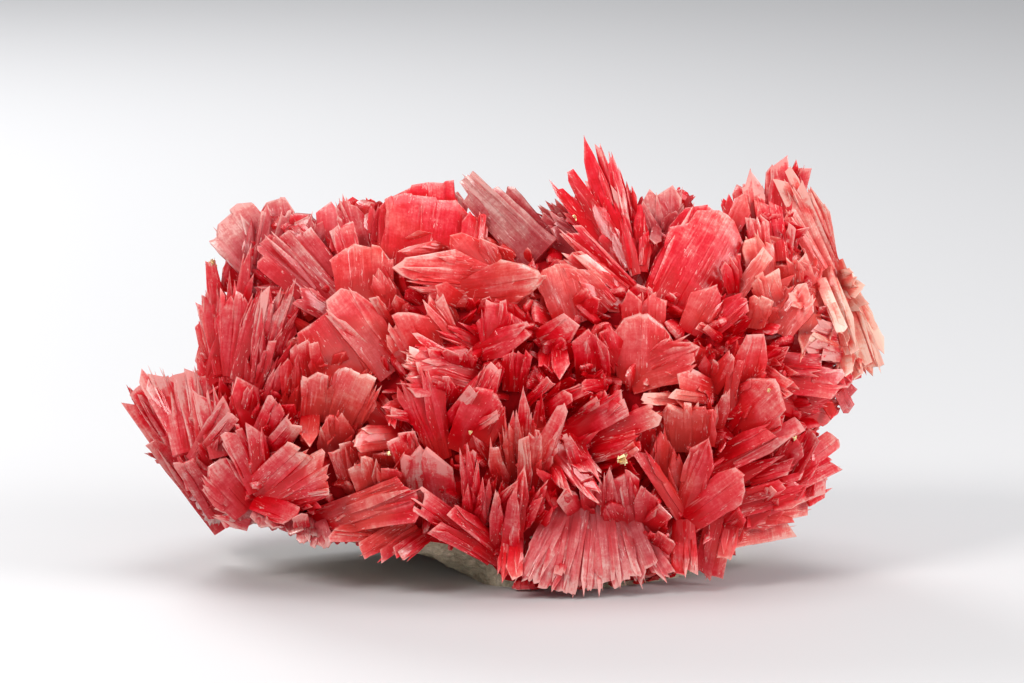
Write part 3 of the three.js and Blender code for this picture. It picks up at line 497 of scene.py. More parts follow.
        ("fan", -40.4, 28.5, -38.9, 41.6, 5.2, -8, 0, .6),
        ("lance", -41.6, 28, -45.5, 40.4, 2.1, 10, 0, .56),
        ("lance", -41.4, 28, -44.5, 41.6, 1.8, -10, 0, .72),
        ("lance", -41.2, 30, -43.9, 46, 2.8, 10, -2, .5),
        ("lance", -41, 28, -43.1, 42.2, 1.6, -10, 2, .76),
        ("lance", -40.8, 27.5, -41.1, 44.1, 2.1, 10, 1, .62),
        ("lance", -40.4, 27.5, -39.7, 42.8, 1.5, -10, 2, .6),
        ("lance", -40.2, 27.5, -38, 48.3, 2.4, 5, 1, .64),
        ("lance", -39.8, 28, -36.3, 41.4, 2.2, -10, 1, .5),
        ("lance", -39.8, 28.5, -37.5, 41, 1.6, 10, 0, .56),
        ("lance", -42.4, 28.5, -45.9, 36.6, 2.2, 5, 0, .6),
        ("chisel", -42.6, 27.5, -45.6, 33.2, 3, -10, 0, .66),
        ("slab", -41.2, 41, -39.2, 49.2, 2.8, 10, -3, .82),
        ("lance", -40.5, 28, -42.2, 38.4, 1.8, 15, 3, .5),
    ],
    "second spray, ragged and pale at its tips": [
        ("fan", -36.4, 27.5, -32.2, 42, 5.2, 6, 0, .94),
        ("lance", -36.6, 27, -34.4, 40.9, 1.9, 10, 1, .7),
        ("lance", -36.5, 27, -33.2, 41.8, 1.8, -10, 0, .9),
        ("lance", -36.4, 27.5, -32, 41.8, 1.8, 10, -1, .9),
        ("lance", -36.2, 28.5, -30.7, 43, 1.7, -10, -1, .88),
        ("lance", -36, 29, -29.8, 40.4, 1.6, 10, -1, .76),
        ("lance", -36.6, 27, -35.6, 38.6, 1.5, -10, 2, .64),
        ("lance", -35.8, 29.5, -32.8, 35.6, 1.3, 10, 2, .88),
        ("lance", -36.6, 26.5, -33.8, 34, 1.5, -10, 3, .54),
        ("lance", -35.2, 25.8, -31.4, 34.2, 1.8, 10, 0, .34),
        ("lance", -34.8, 25, -33, 30.8, 1.8, -10, 1, .74),
    ],
    "slab and ledges below the left crest": [
        ("round", -20.6, 39, -21.4, 48.2, 8.2, 0, 1, .46),
        ("leaf", -1.8, 43.2, -17, 45, 4.6, 5, 4, .82),
        ("leaf", -7.6, 46.8, -16.2, 47, 2.4, -10, 2, .66),
        ("round", -2.8, 44, -7.6, 49.8, 4.2, 5, 1, .5),
        ("chisel", -.8, 44.2, -3.8, 49.2, 3, -10, 1, .46),
        ("leaf", -6.4, 41, 6.6, 42.4, 5.6, 5, 4, .56),
        ("round", -6.6, 39.6, -10.2, 41.8, 2.6, 10, 3, .55),
        ("chisel", -16.8, 38.2, -19, 44.7, 3.2, 10, 2, .42),
        ("slab", -16.8, 36.2, -19.4, 40.4, 1.3, -10, 3, .82),
        ("chisel", -15.2, 37, -16, 40.8, 1.8, 10, 2, .6),
        ("round", -11.4, 30.6, -15.2, 38.2, 7.2, 0, 3, .62),
        ("slab", -5.4, 31.8, -12, 40.2, 1.8, 10, 4, .72),
        ("slab", -6.4, 32.2, -9.9, 41, 1.4, -10, 4, .78),
    ],
    "plates round the small caves of the centre": [
        ("chisel", -1.2, 31.2, -.2, 40, 6.4, 5, 4, .54),
        ("round", -3.4, 37.8, -2.2, 40.2, 1.6, 10, 3, .74),
        ("leaf", -5.4, 31.4, 4.4, 35.6, 3, -10, 4, .66),
        ("slab", 1.4, 26.6, 2, 32.8, 4, 5, 2, .38),
        ("round", 5, 33.8, 10.6, 36.4, 3.8, 5, 4, .78),
        ("round", 7.8, 34.6, 8.5, 28.2, 2.4, 10, 4, .6),
        ("round", 10.6, 36.4, 7.6, 45.2, 6.6, 5, 3, .52),
        ("slab", 17.6, 40.6, 8.3, 47.2, 3, 10, 4, .6),
        ("slab", 18.6, 41, 8.8, 51.2, 3, -10, 3, .66),
        ("round", 15.4, 38.6, 9, 45, 3.8, 5, 3, .46),
        ("slab", 17.8, 41, 10.2, 47.2, 1.4, 20, 5, .92),
        ("slab", 10, 38, 13.6, 40.6, 3.6, 5, 2, .4),
        ("round", 12.2, 28.2, 12, 35.4, 3.8, 5, 4, .46),
        ("chisel", 15, 27.8, 13.4, 35.2, 2.2, -15, 4, .4),
        ("chisel", 16.8, 29.6, 14.8, 36.3, 3.4, 10, 3, .4),
        ("slab", 15.2, 27.4, 11.2, 27.3, 1.6, -10, 4, .5),
    ],
    "plates right of the lance spray": [
        ("slab", 10.2, 22.4, 14.1, 25.3, 1.3, 10, 6, .94),
        ("slab", 3, 24.4, 7, 28.3, 1.4, -10, 4, .6),
        ("slab", 5, 23.6, 11.9, 26.9, 1.8, 10, 4, .6),
        ("slab", 5.2, 22.8, 9.9, 26.2, 2, -10, 5, .62),
        ("slab", 8.6, 19.6, 18.4, 25.2, 3.6, 5, 5, .6),
        ("slab", 10.8, 20.4, 16.2, 25.8, 3, -10, 4, .54),
        ("slab", 10.4, 18.4, 23.2, 23.5, 3.2, 5, 6, .6),
        ("slab", 11.4, 16.8, 20.2, 19.4, 3, -10, 5, .2),
        ("slab", 14.2, 14.8, 19.4, 18.6, 1.3, 10, 6, .5),
    ],
    "pale crumbs along the lower left edge": [
        ("slab", -42.4, 12, -45.4, 7.4, 3.6, 20, 1.5, 1),
        ("slab", -41.6, 11.6, -43, 6.2, 3.8, -10, 2.5, 1.05),
        ("round", -40.2, 10.4, -41.6, 7.4, 3.4, 20, 1.5, 1.15),
        ("slab", -38, 9.4, -39, 6.3, 3.4, -15, 1.5, 1.1),
        ("chisel", -36, 9, -36.2, 6, 3, 10, 2, 1.2),
        ("round", -33.6, 8.8, -33.6, 5.9, 3.4, -20, 1.5, 1.12),
        ("chisel", -31.4, 8.4, -31, 5.2, 2.8, 15, 1.5, 1.18),
        ("slab", -29.6, 7.6, -29.2, 3.7, 2.6, -10, 2, 1.1),
        ("slab", -27.4, 7, -26.4, 3, 3, 20, 1.5, 1),
    ],
    # The darkest tones of the chart: these blades stand back in a gap, and their dark red is painted
    # shade.
    "deep blades in the gap right of the middle": [
        ("slab", 18.6, 11, 20.6, 21.6, 3.4, 12, -3, .14),
        ("slab", 21.6, 10.6, 23.4, 20, 3.2, -14, -3, .2),
        ("chisel", 23.8, 13, 22.6, 23.4, 2.8, 20, -4, .1),
    ],
}
# How far a region leans to peach (1) or to a smoky pink (-1) instead of red.
TINTS = {
    "big pale plate and small blades at the top left corner": -.8,
    "long pale bar with its striated face up, leaning left": -1,
    "ragged pale frond behind the crest": -.8,
    "ragged pale cluster behind the spray": -.7,
    "striated bars that cross the left shoulder": -.4,
    "twin spikes on the left crest": -.3,
    "sheaf of long laths down the right edge, upper half": .4,
    "the same sheaf, lower half": .9,
    "pale prisms in the crook of the sheaf": -.3,
    "slab and ledges below the left crest": .2,
    "left lobe: long bars that lean out to the left": -.1,
    "left spray": -.15,
    "second spray, ragged and pale at its tips": -.25,
    "curtain along the bottom edge": -.5,
    "pale crumbs along the lower left edge": -.8,
    "knobs above the curtain": -.2,
    "smooth slabs of the left middle": .1,
    "broad slab with its end striated": .2,
    "standing slabs right of the middle": .15,
    "blocks inside the right shoulder": .4,
    "big bent crystal and the glassy bars on it": .1,
}
print("crystals in the chart:", sum(len(crystals) for crystals in FRONT.values()))

# %% [markdown]
# ## One crystal
#
# Rhodonite grows as flat blades. A blade is a thin plate made of strips that grew side by
# side: the strips end at different places, so the end is a comb of cut or pointed teeth, and
# their faces lie at slightly different heights, so the broad face is striated. All of that is
# one closed grid per plate: three columns for each strip, a few rows along it, a front and a
# back. Plain boxes would be simpler, but every face would then shine as one flat mirror.

# %% Collect plates into a mesh
LOWEST = .35
SHARP_ANGLE = math.radians(24)


class Growth:
    """Gathers plates, with what the finish has to know at each of their points."""

    def __init__(self, on_ground=True):
        self.points, self.faces, self.grain = [], [], []
        self.values = {"along": [], "rim": [], "tone": [], "tint": []}
        self.size = 0
        self.tint = 0.0
        self.on_ground = on_ground

    def add(self, points, faces, grain, along, rim, tone):
        self.faces.append(faces + self.size)
        self.size += len(points)
        self.points.append(points)
        self.grain.append(grain)
        flat = np.ones(len(points))
        for label, values in zip(self.values, (along, rim, flat * tone, flat * self.tint)):
            self.values[label].append(values)

    def mesh(self, name):
        points = np.concatenate(self.points)
        if self.on_ground:
            points[:, 2] = np.maximum(points[:, 2], LOWEST)
        points = points * MM
        faces = np.concatenate(self.faces)
        mesh = bpy.data.meshes.new(name)
        mesh.vertices.add(len(points))
        mesh.vertices.foreach_set("co", points.ravel())
        mesh.loops.add(faces.size)
        mesh.loops.foreach_set("vertex_index", faces.ravel())
        mesh.polygons.add(len(faces))
        mesh.polygons.foreach_set("loop_start", np.arange(0, faces.size, 4))
        mesh.update(calc_edges=True)
        mesh.set_sharp_from_angle(angle=SHARP_ANGLE)
        grain = mesh.attributes.new("grain", "FLOAT_VECTOR", "POINT")
        grain.data.foreach_set("vector", (np.concatenate(self.grain) * MM).ravel())
        for label, values in self.values.items():
            layer = mesh.attributes.new(label, "FLOAT", "POINT")
            layer.data.foreach_set("value", np.concatenate(values))
        return mesh


rng = np.random.default_rng(11)


def unit(vector):
    return vector / np.linalg.norm(vector)


print("each plate notes:", ", ".join(Growth().values))

# %% [markdown]
# ## Habits
#
# A habit is the way in which a blade ends. A slab ends nearly square, a bar keeps its width
# and a beam narrows from its root, a chisel rises to one side, a lance runs to a point, a leaf
# is narrow at both ends, a round plate follows a curve and a fan opens from a narrow root. A
# point is a thick prism with a ridge down its face, and a drape is a sheet of the finest
# strips. Each is a line of points across the blade that say how far along it reaches there.

# %% One plate
HABITS = {
    # where it ends at places across, the root's width, the width of a strip in mm, how
    # steeply a strip is cut, how many strips are pointed, how much strips differ in length,
    # and how far a ridge stands up along the middle of each strip
    "slab": dict(end=((-1, .84), (0, 1), (1, .84)), root=.8, strip=1.9, cut=.6, pointed=.3, ragged=.07),
    "bar": dict(end=((-1, .93), (.9, 1)), root=.95, strip=2.0, cut=.5, pointed=.25, ragged=.06),
    "chisel": dict(end=((-1, .62), (-.1, 1), (1, .8)), root=.66, strip=2.4, cut=.5,
                   pointed=.25, ragged=.05),
    "beam": dict(end=((-1, .97), (1, 1)), root=1.3, strip=1.1, cut=.2, pointed=.1, ragged=.02),
    "lance": dict(end=((-1, .56), (0, 1), (1, .6)), root=.8, strip=1.5, cut=1.4, pointed=.7, ragged=.07),
    "leaf": dict(end=((-1, .42), (-.5, .84), (.1, 1), (.6, .86), (1, .5)), root=.4, strip=2.2, cut=.5,
                 pointed=.3, ragged=.04),
    "round": dict(end=((-1, .66), (-.55, .94), (.35, 1), (.8, .86), (1, .72)), root=.8, strip=3.0, cut=.12,
                  pointed=.2, ragged=.012),
    "point": dict(end=((-1, .7), (0, 1), (1, .74)), root=1.0, strip=9.0, cut=.1,
                  pointed=.3, ragged=0, roof=.3),
    "drape": dict(end=((-1, .97), (0, 1), (1, .97)), root=.8, strip=.9, cut=.4, pointed=.3, ragged=.03),
    "fan": dict(end=((-1, .86), (-.3, 1), (.2, .92), (.9, .97)), root=.4, strip=1.2, cut=1.2,
                pointed=.5, ragged=.1),
}
# Shares of a plate's own size, and chances. The grain's spread is in mm.
BAR_ASPECT = 2.4
SHOULDER_CHANCE = .4
SHOULDER_DROP = .3
ROWS = (0, .3, .52, .7, .84, .95, 1)
FEW_ROWS = (0, .45, .85, 1)
STRIP_STEP = .05
UNEVEN = .022
EDGE_THICKNESS = .55
END_THICKNESS = .6
UNIT_ASPECT = .12
SLANT = .12
STRIP_WIDTHS = (.4, 1.7)
GROOVE_LEFT, GROOVE_RIGHT = .01, .02
RAGGED_POWER = 1.5
BITE_MOST = .22
BITES = (.3, 1.3)
CREST_PLACE = (.25, .75)
CREST_RISE = .03
EDGE_RISE = .02
TIP_THICKNESS = .55
TERRACE_MOST = .16
BENT = .03
TWISTED = .06
SIDE_RIM = .7
GRAIN_SPREAD = 900


def either_way(most):
    """A random number from minus this to plus this."""
    return rng.uniform(-most, most)


def comb(rule, strips, aspect, flip):
    """The columns of a plate: where each lies across, where it ends and how high its face is."""
    cuts = np.cumsum(np.append(0, rng.uniform(*STRIP_WIDTHS, strips)))
    cuts = cuts / cuts[-1] * 2 - 1
    knots, ends = np.array(rule["end"]).T
    ends = ends * rng.uniform(1 - SLANT, 1 + SLANT, len(ends))
    ends, knots = ends / ends.max(), knots + either_way(SLANT) * (abs(knots) < 1)
    columns = []
    for strip, (a, b) in enumerate(zip(cuts, cuts[1:])):
        bite = min(BITE_MOST, rule["cut"] * (b - a) * aspect * rng.uniform(*BITES))
        pointed = rng.random() < rule["pointed"]
        leans_left = rng.random() < .5
        ragged = rule["ragged"] * rng.random() ** RAGGED_POWER
        if strips > 2 and strip in (0, strips - 1) and rng.random() < SHOULDER_CHANCE:
            ragged += rng.random() * SHOULDER_DROP
        height = rng.uniform(-1, 1) * STRIP_STEP
        crest = a + (b - a) * rng.uniform(*CREST_PLACE)
        for place, cut, lift in (
            (a + GROOVE_LEFT, bite * (pointed or not leans_left), 0),
            (crest, 0 if pointed else bite * .5, rng.uniform(0, CREST_RISE) + rule.get("roof", 0)),
            (b - GROOVE_RIGHT, bite * (pointed or leans_left), either_way(EDGE_RISE)),
        ):
            where = -place if flip else place
            columns.append((place, np.interp(where, knots, ends) - ragged - cut, height + lift))
    columns = np.array(columns)
    columns[:, 1] /= columns[:, 1].max()
    return columns


def plate(growth, habit, root, frame, size, tone, rows=ROWS, flip=False, unit_shape=False):
    """One closed plate. The frame is the ways along, across and through it, as the size is."""
    rule = HABITS[habit]
    length, width, thickness = size
    strips = 2 if unit_shape else max(1, round(width / rule["strip"]))
    columns = comb(rule, strips, UNIT_ASPECT if unit_shape else width / (2 * length), flip)
    rows = np.array(rows)[:, None]
    place, end, height = columns.T
    count = len(columns)
    rim_across = np.zeros(count)
    rim_across[[0, -1]] = 1
    thin = 1 - (1 - EDGE_THICKNESS) * rim_across
    u = rows * end
    s = place * (rule["root"] + (1 - rule["root"]) * rows)
    wider, aside = rng.uniform(-1, 1, (2, len(rows), 1)) * UNEVEN
    s = s * (1 + wider) + aside
    taper = 1 - (1 - END_THICKNESS) * rows ** 2
    taper[-1] *= TIP_THICKNESS
    terrace = np.where(
        rows > rng.choice(rows.ravel()[1:-1], count), rng.uniform(0, TERRACE_MOST, count), 0)
    front = .5 * taper * thin + (height - terrace) * (1 - rim_across) * taper
    back = -.5 * taper * thin + rng.uniform(-1, 1, count) * STRIP_STEP * (1 - rim_across) * taper
    bend = either_way(BENT) * length
    bow = either_way(BENT) * width
    twist = either_way(TWISTED)
    along, across, through = frame
    sheets = []
    for face in (front, back):
        t = face * thickness + bend * u ** 2 + bow * s ** 2 + twist * u * s * width / 2
        sheets.append(np.stack([u * length, s * width / 2, t], -1).reshape(-1, 3))
    local = np.concatenate(sheets)
    points = root + local @ np.array([along, across, through])
    # The rim marks the side edges and the end of a plate; the finish makes them paler, partly frost and
    # partly painted highlight.
    rim = np.broadcast_to(np.maximum(rim_across * SIDE_RIM, rows == 1), u.shape).ravel()
    shift = 0 if unit_shape else rng.uniform(0, GRAIN_SPREAD, 3)
    growth.add(
        points, grid_faces(len(rows), count), local + shift,
        np.tile(u.ravel(), 2), np.tile(rim, 2), tone,
    )


def grid_faces(rows, columns):
    """The faces of two sheets of points and of the four walls between them."""
    front = np.arange(rows * columns).reshape(rows, columns)
    back = front + rows * columns
    quads = [
        [front[:-1, :-1], front[1:, :-1], front[1:, 1:], front[:-1, 1:]],
        [back[:-1, :-1], back[:-1, 1:], back[1:, 1:], back[1:, :-1]],
        [front[:-1, 0], back[:-1, 0], back[1:, 0], front[1:, 0]],
        [front[:-1, -1], front[1:, -1], back[1:, -1], back[:-1, -1]],
        [front[-1, :-1], back[-1, :-1], back[-1, 1:], front[-1, 1:]],
        [front[0, :-1], front[0, 1:], back[0, 1:], back[0, :-1]],
    ]
    return np.concatenate([np.stack([corner.ravel() for corner in quad], -1) for quad in quads])


print("habits:", ", ".join(HABITS))

# %% [markdown]
# ## Bundles
#
# A large blade is a main plate with narrow blades on its faces and edges. They start
# anywhere along it, follow it within a few degrees and end near its end, some short of it and
# some past it, so the face gets ridges and the end gets the feathery, stepped look that
# bundles of rhodonite have. Round plates stay smoother than the others.

# %% Bundle plates into a crystal
THICKNESS_SHARE = .24
THICKNESS_LEAST = .6
THICKNESS_MOST = 2.0
ROOT_DEPTH = 4.2
SINK_LEAST, SINK_MOST = 2.5, 5.5
ROOT_DEPTH_SHARE = .08
LIFT_SHARE = .65
FULLNESS = {"lance": 1.05, "fan": 1.3, "round": 1.15, "bar": 1.1, "leaf": 1.5, "beam": 1.0}
USUAL_FULLNESS = 1.1
RIDER_SHARE = {"round": .22, "bar": .6, "beam": .5, "point": 0, "drape": .4, "fan": 1.3, "lance": 1.1}
USUAL_RIDERS = .85
RIDER_BASE = 1.2
RIDER_HABITS = ("lance", "chisel", "lance", "leaf")
RIDER_SIDES = (1, 1, 1, -1)
RIDER_START = .5
RIDER_END = (.84, 1.06)
RIDER_RISE = (.05, .4), (.1, .35)
RIDER_LEAN = .3
RIDER_WIDTH = (.5, 1.7)
RIDER_WIDEST = .7
RIDER_THICKNESS = (.3, .6)
RIDER_TONES = (-.12, .2)
RIDER_FAN = .16
PLATE_LENGTH = .96
PLATE_THICKNESS = .85


def turned(vector, axis, angle):
    """A vector turned about an axis."""
    c, s = math.cos(angle), math.sin(angle)
    return vector * c + np.cross(axis, vector) * s + axis * axis.dot(vector) * (1 - c)


def thickness_of(width):
    return min(THICKNESS_MOST, max(THICKNESS_LEAST, width * THICKNESS_SHARE))


def rider(growth, habit, root, frame, size, tone):
    """A narrow blade that lies on a face or an edge of a main plate."""
    along, across, normal = frame
    length, width, thickness = size
    rule = HABITS[habit]
    knots, ends = zip(*rule["end"])
    at = rng.uniform(-1, 1)
    begin, finish = rng.uniform(0, RIDER_START), np.interp(at, knots, ends) * rng.uniform(*RIDER_END)
    out = normal * rng.choice(RIDER_SIDES) * thickness
    first, last = (at * width / 2 * (rule["root"] + (1 - rule["root"]) * u) for u in (begin, finish))
    last += rng.normal(0, RIDER_FAN)
    start, end = (
        root + along * u * length + across * aside + out * rng.uniform(*rise)
        for u, aside, rise in zip((begin, finish), (first, last), RIDER_RISE))
    way = unit(end - start)
    flat = turned(unit(np.cross(normal, way)), way, either_way(RIDER_LEAN))
    breadth = min(rng.uniform(*RIDER_WIDTH), width * RIDER_WIDEST)
    plate(
        growth, rng.choice(RIDER_HABITS), start, (way, flat, np.cross(way, flat)),
        (np.linalg.norm(end - start), breadth, rng.uniform(*RIDER_THICKNESS)),
        tone + rng.uniform(*RIDER_TONES), FEW_ROWS, rng.random() < .5,
    )


def rider_count(habit, width):
    """How many narrow blades grow on a crystal: more on a broad one."""
    return round((RIDER_BASE + width) * RIDER_SHARE.get(habit, USUAL_RIDERS))


def crystal(growth, habit, root, tip, width, thickness, facing, tone, small=False):
    """A plate from its root to its tip, with narrow blades on it unless it is a small one."""
    length = np.linalg.norm(tip - root)
    along = unit(tip - root)
    across = unit(np.cross(facing, along))
    frame = (along, across, np.cross(along, across))
    if small:
        plate(growth, habit, root, frame, (length, width, thickness), tone, FEW_ROWS, rng.random() < .5)
        return
    reach = length * (1 if habit in ("round", "lance") else PLATE_LENGTH)
    size = (reach, width, thickness * PLATE_THICKNESS)
    plate(growth, habit, root, frame, size, tone)
    for _ in range(rider_count(habit, width)):
        rider(growth, habit, root, frame, (length, width, thickness), tone)


def facing_of(along, turn):
    """The way a crystal's broad face looks: out of the chart, turned about its own length."""
    facing = -INWARDS
    facing = unit(facing - along * facing.dot(along))
    return turned(facing, along, turn)


print("narrow blades on a slab 6 mm wide:", rider_count("slab", 6))

# %% [markdown]
# ## The front
#
# Each row of the chart is one crystal. Its root is sunk into the form and its tip stands out
# by the row's lift. Behind each one lie two companions at slightly other angles, which close
# the gaps as they do in a grown cluster, and none of them passes the outline. Their darker
# tone is painted shade, because they lie back in the gaps.

# %% Place the front crystals
def front_crystal(
    growth, habit, root_x, root_height, tip_x, tip_height, width, turn, lift, tone, sink=0.0, small=False
):
    root = chart_point(root_x, root_height, min(0, lift))
    tip = chart_point(tip_x, tip_height, LIFT_SHARE * lift)
    root = root + INWARDS * (ROOT_DEPTH + sink + ROOT_DEPTH_SHARE * np.linalg.norm(tip - root))
    tip = tip + INWARDS * sink
    facing = facing_of(unit(tip - root), math.radians(turn))
    if habit == "slab" and np.linalg.norm(tip - root) > BAR_ASPECT * width:
        habit = "bar"
    width = width * FULLNESS.get(habit, USUAL_FULLNESS)
    crystal(growth, habit, root, tip, width, thickness_of(width), facing, tone, small)


# The outline of the cluster on the chart: nothing that fills a gap stands out past it.
SKYLINE = np.array([
    (-56.6, 26), (-55, 29.4), (-51.4, 29.4), (-47.2, 30), (-45.7, 32.4), (-45.2, 37), (-44.5, 41.4),
    (-43.7, 44.7), (-42, 46), (-43.4, 50), (-41.5, 53.5), (-35.5, 55), (-30.7, 53), (-26.2, 52),
    (-25.7, 55), (-23.9, 55.3), (-21.7, 53.4), (-19.6, 53.7), (-16.3, 56.7), (-13.9, 57.4), (-9.7, 57),
    (-7.3, 58.2), (-5.2, 59.8), (-2.8, 58.6), (.8, 55.5), (5.3, 51.6), (6.1, 54), (8, 54.9), (9.2, 54.3),
    (7.3, 57.6), (10, 56.7), (11.6, 63), (14.3, 62.7), (18, 58.2), (19.4, 56), (22.6, 57), (25.7, 56.4),
    (26.3, 54), (32.3, 53.8), (36, 59), (36.8, 56.7), (38.6, 57), (41, 61.3), (44.3, 60.4), (45.2, 58),
    (47.6, 55), (48.2, 49), (51.8, 43.6), (53.6, 38.4), (55.9, 35.4), (57, 31.6), (56.6, 28.6),
    (51.8, 27.6), (51.5, 25.6), (49.6, 23.4), (49.4, 17.4), (49, 11.4), (46.6, 10), (46, 7), (42.8, 4),
    (38.3, 2.4), (33, 1), (31.7, -2), (26.3, -2), (20.3, -1.8), (14.3, -3.6), (9.8, -4), (2.3, -2.6),
    (-1, -1), (-4, 2), (-12.7, 3), (-15.7, 2.4), (-23.9, 3), (-29.9, 4), (-32.2, 6), (-39.7, 5.7),
    (-44.9, 7.6), (-49.4, 13), (-53.2, 19), (-54.7, 22),
], float)


def in_skyline(x, height):
    """Whether a chart place is inside: a level line from it crosses the outline an odd number of times."""
    x0, h0 = SKYLINE.T
    x1, h1 = np.roll(SKYLINE, -1, axis=0).T
    spans = (h0 > height) != (h1 > height)
    rise = np.where(h1 == h0, 1, h1 - h0)
    return bool(np.sum(spans & (x < x0 + (height - h0) / rise * (x1 - x0))) % 2)


COMPANIONS = 2
COMPANION_HABITS = ("leaf", "chisel", "leaf", "lance")
COMPANION_BREADTH = (.7, 1.4)
COMPANION_LEAST, COMPANION_MOST = 2.0, 7
COMPANION_SMALL = 2.4
COMPANION_SHARE = (.7, 1.05)
COMPANION_START = (-.3, .12)
COMPANION_SWING = .5
COMPANION_TURN = 30
# Companions get a darker tone than their crystal: painted shade, as they lie back in the gaps.
COMPANION_TONE_IN_SHADE, COMPANION_PAINTED_SHADE = .75, (.05, .3)
ROOT_ASIDE, TIP_ASIDE = .8, .3
OUTLINE_MARGIN = .7


def companions(growth, habit, root_x, root_height, tip_x, tip_height, width, turn, lift, tone):
    """Crystals that lie behind a large one, nearly parallel to it, and show in the gaps, darker with
    painted shade.
    """
    length = math.hypot(tip_x - root_x, tip_height - root_height)
    ax, ah = (tip_x - root_x) / length, (tip_height - root_height) / length
    for _ in range(COMPANIONS):
        breadth = width * rng.uniform(*COMPANION_BREADTH)
        breadth = max(COMPANION_LEAST, min(COMPANION_MOST, breadth))
        aside = rng.uniform(-1, 1) * (width * .6 + 1.6)
        share = rng.uniform(*COMPANION_SHARE)
        start = rng.uniform(*COMPANION_START) * length
        swing = either_way(COMPANION_SWING)
        dx = ax * math.cos(swing) - ah * math.sin(swing)
        dh = ax * math.sin(swing) + ah * math.cos(swing)
        x0 = root_x + ax * start - ah * aside * ROOT_ASIDE
        h0 = root_height + ah * start + ax * aside * ROOT_ASIDE
        x1 = x0 + dx * share * length - ah * aside * TIP_ASIDE
        h1 = h0 + dh * share * length + ax * aside * TIP_ASIDE
        half = breadth * OUTLINE_MARGIN
        corners = [
            (x + dh * half * way, h - dx * half * way)
            for x, h in ((x0, h0), (x1, h1)) for way in (-1, 0, 1)]
        if not all(in_skyline(x, height) for x, height in corners):
            continue
        front_crystal(
            growth, "lance" if habit in ("lance", "fan") else rng.choice(COMPANION_HABITS),
            x0, h0, x1, h1, breadth, turn + either_way(COMPANION_TURN), lift,
            max(.05, tone * COMPANION_TONE_IN_SHADE - rng.uniform(*COMPANION_PAINTED_SHADE)),
            sink=rng.uniform(SINK_LEAST, SINK_MOST), small=breadth < COMPANION_SMALL,
        )


LEFT_ENDS, MIDDLE_ENDS = -12, 17
growths = {}
for region, rows in FRONT.items():
    side = sum(row[3] for row in rows) / len(rows)
    name = "front_left" if side < LEFT_ENDS else "front_middle" if side < MIDDLE_ENDS else "front_right"
    growth = growths.setdefault(name, Growth())
    growth.tint = TINTS.get(region, 0)
    for row in rows:
        front_crystal(growth, *row)
        companions(growth, *row)
for name, growth in growths.items():
    print(name, "points:", growth.size)

# %% [markdown]
# ## The sides and the back
#
# These sprays follow a rule. The golden angle spreads them evenly round the form, each opens
# like a fan from one root, and any blade that would show above the front's crest is shortened
# or left out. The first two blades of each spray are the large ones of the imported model.

# %% Place the rear crystals
SPRAYS = 30
REAR_DEPTH = 7.0
LOW_ROOT = 12.0
FRONT_EDGE = -4.0
LARGE_IN_SPRAY = 2
SMALL_IN_SPRAY = 20
GOLDEN_ANGLE = math.pi * (3 - math.sqrt(5))
REAR_START = math.radians(-14)
REAR_SWEEP = math.radians(208)
REAR_LOW, REAR_HIGH = 9, 54
REAR_CROWDING = .8
# How a spray leans: this much more to the back than to the sides, level here, then upwards.
OUT_BACK, OUT_LEVEL, OUT_RISE = 1.6, 22, 26
REAR_HABITS = ("slab", "chisel", "slab", "round", "lance")
LARGE_SPREAD, SMALL_SPREAD = (.33, .95), (.2, 1.5)
LARGE_WIDTH, SMALL_WIDTH = (7, 11), (1.8, 6)
LARGE_LENGTH, SMALL_LENGTH = (10, 14), (6.5, 12.5)
LARGE_TURN, SMALL_TURN = (-.6, .6), .8
LARGE_THICKNESS, SMALL_THICKNESS = .4, .7
LARGE_TONE, SMALL_TONE = (.35, .65), (.3, .75)
SHORTEST = 4.0
ROOTS_APART = 7.5
ONE_PLATE_BELOW = 3.5
# The crest of the front and the lowest that the crystals hang: x and height, left to right.
CREST = np.array([
    (-51, 25), (-46, 27), (-43, 36), (-41, 45), (-37, 50), (-25, 50), (-14, 53), (-2, 52),
    (5, 48), (12, 53), (20, 52), (31, 50), (38, 53), (44, 53), (48, 47),
], float)
UNDERSIDE = np.array([
    (-80, 13), (-46, 9), (-30, 7.2), (-12, 7.2), (-3, 5.5), (.5, .35), (32, .35), (49, 12), (80, 40),
], float)
CREST_MARGIN = 2.0
BACK_FOOT = 9.0


def scatter(index):
    """A number from 0 to 1 that looks random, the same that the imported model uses."""
    wave = math.sin(index * 12.9898 + 4.1414) * 43758.5453
    return wave - math.floor(wave)


def scatter_between(low, high, index):
    return low + (high - low) * scatter(index)


def behind_front(point, half):
    """Whether a blade's end, this wide on either side, is hidden by the front's crest."""
    x, y, z = point
    if x < CREST[0, 0] or x > CREST[-1, 0] or (y > 0 and z < BACK_FOOT):
        return False
    height = z * math.cos(CHART_LEAN) + y * math.sin(CHART_LEAN)
    low, high = np.interp(x, *UNDERSIDE.T) + CREST_MARGIN, np.interp(x, *CREST.T)
    return low < height < high and all(in_skyline(x + side, height + half * .5) for side in (-half, half))


def rear_spray(spray):
    """The root of a spray and the three directions that its blades open in."""
    round_it = (spray * GOLDEN_ANGLE % math.tau) / math.tau
    angle = REAR_START + REAR_SWEEP * round_it
    z = REAR_LOW + (REAR_HIGH - REAR_LOW) * ((spray + .5) / SPRAYS) ** REAR_CROWDING
    root = point_of_form(angle, z, REAR_DEPTH)
    out = unit(np.array([math.cos(angle), OUT_BACK * math.sin(angle), (z - OUT_LEVEL) / OUT_RISE]))
    side = unit(np.cross((0, 0, 1), out))
    return root, out, side, np.cross(out, side)


def opened(out, side, up, swing, spread):
    """The way along a blade that opens this far from the middle of its spray."""
    return unit(out + side * spread * math.cos(swing) + up * spread * math.sin(swing))


def shortened(root, along, length, width):
    """The tip of a blade, short enough to stay hidden from the front, and whether it is."""
    tip = root + along * length
    while length > SHORTEST and not behind_front(tip, width / 2):
        length -= 1
        tip = root + along * length
    return tip, behind_front(tip, width / 2)


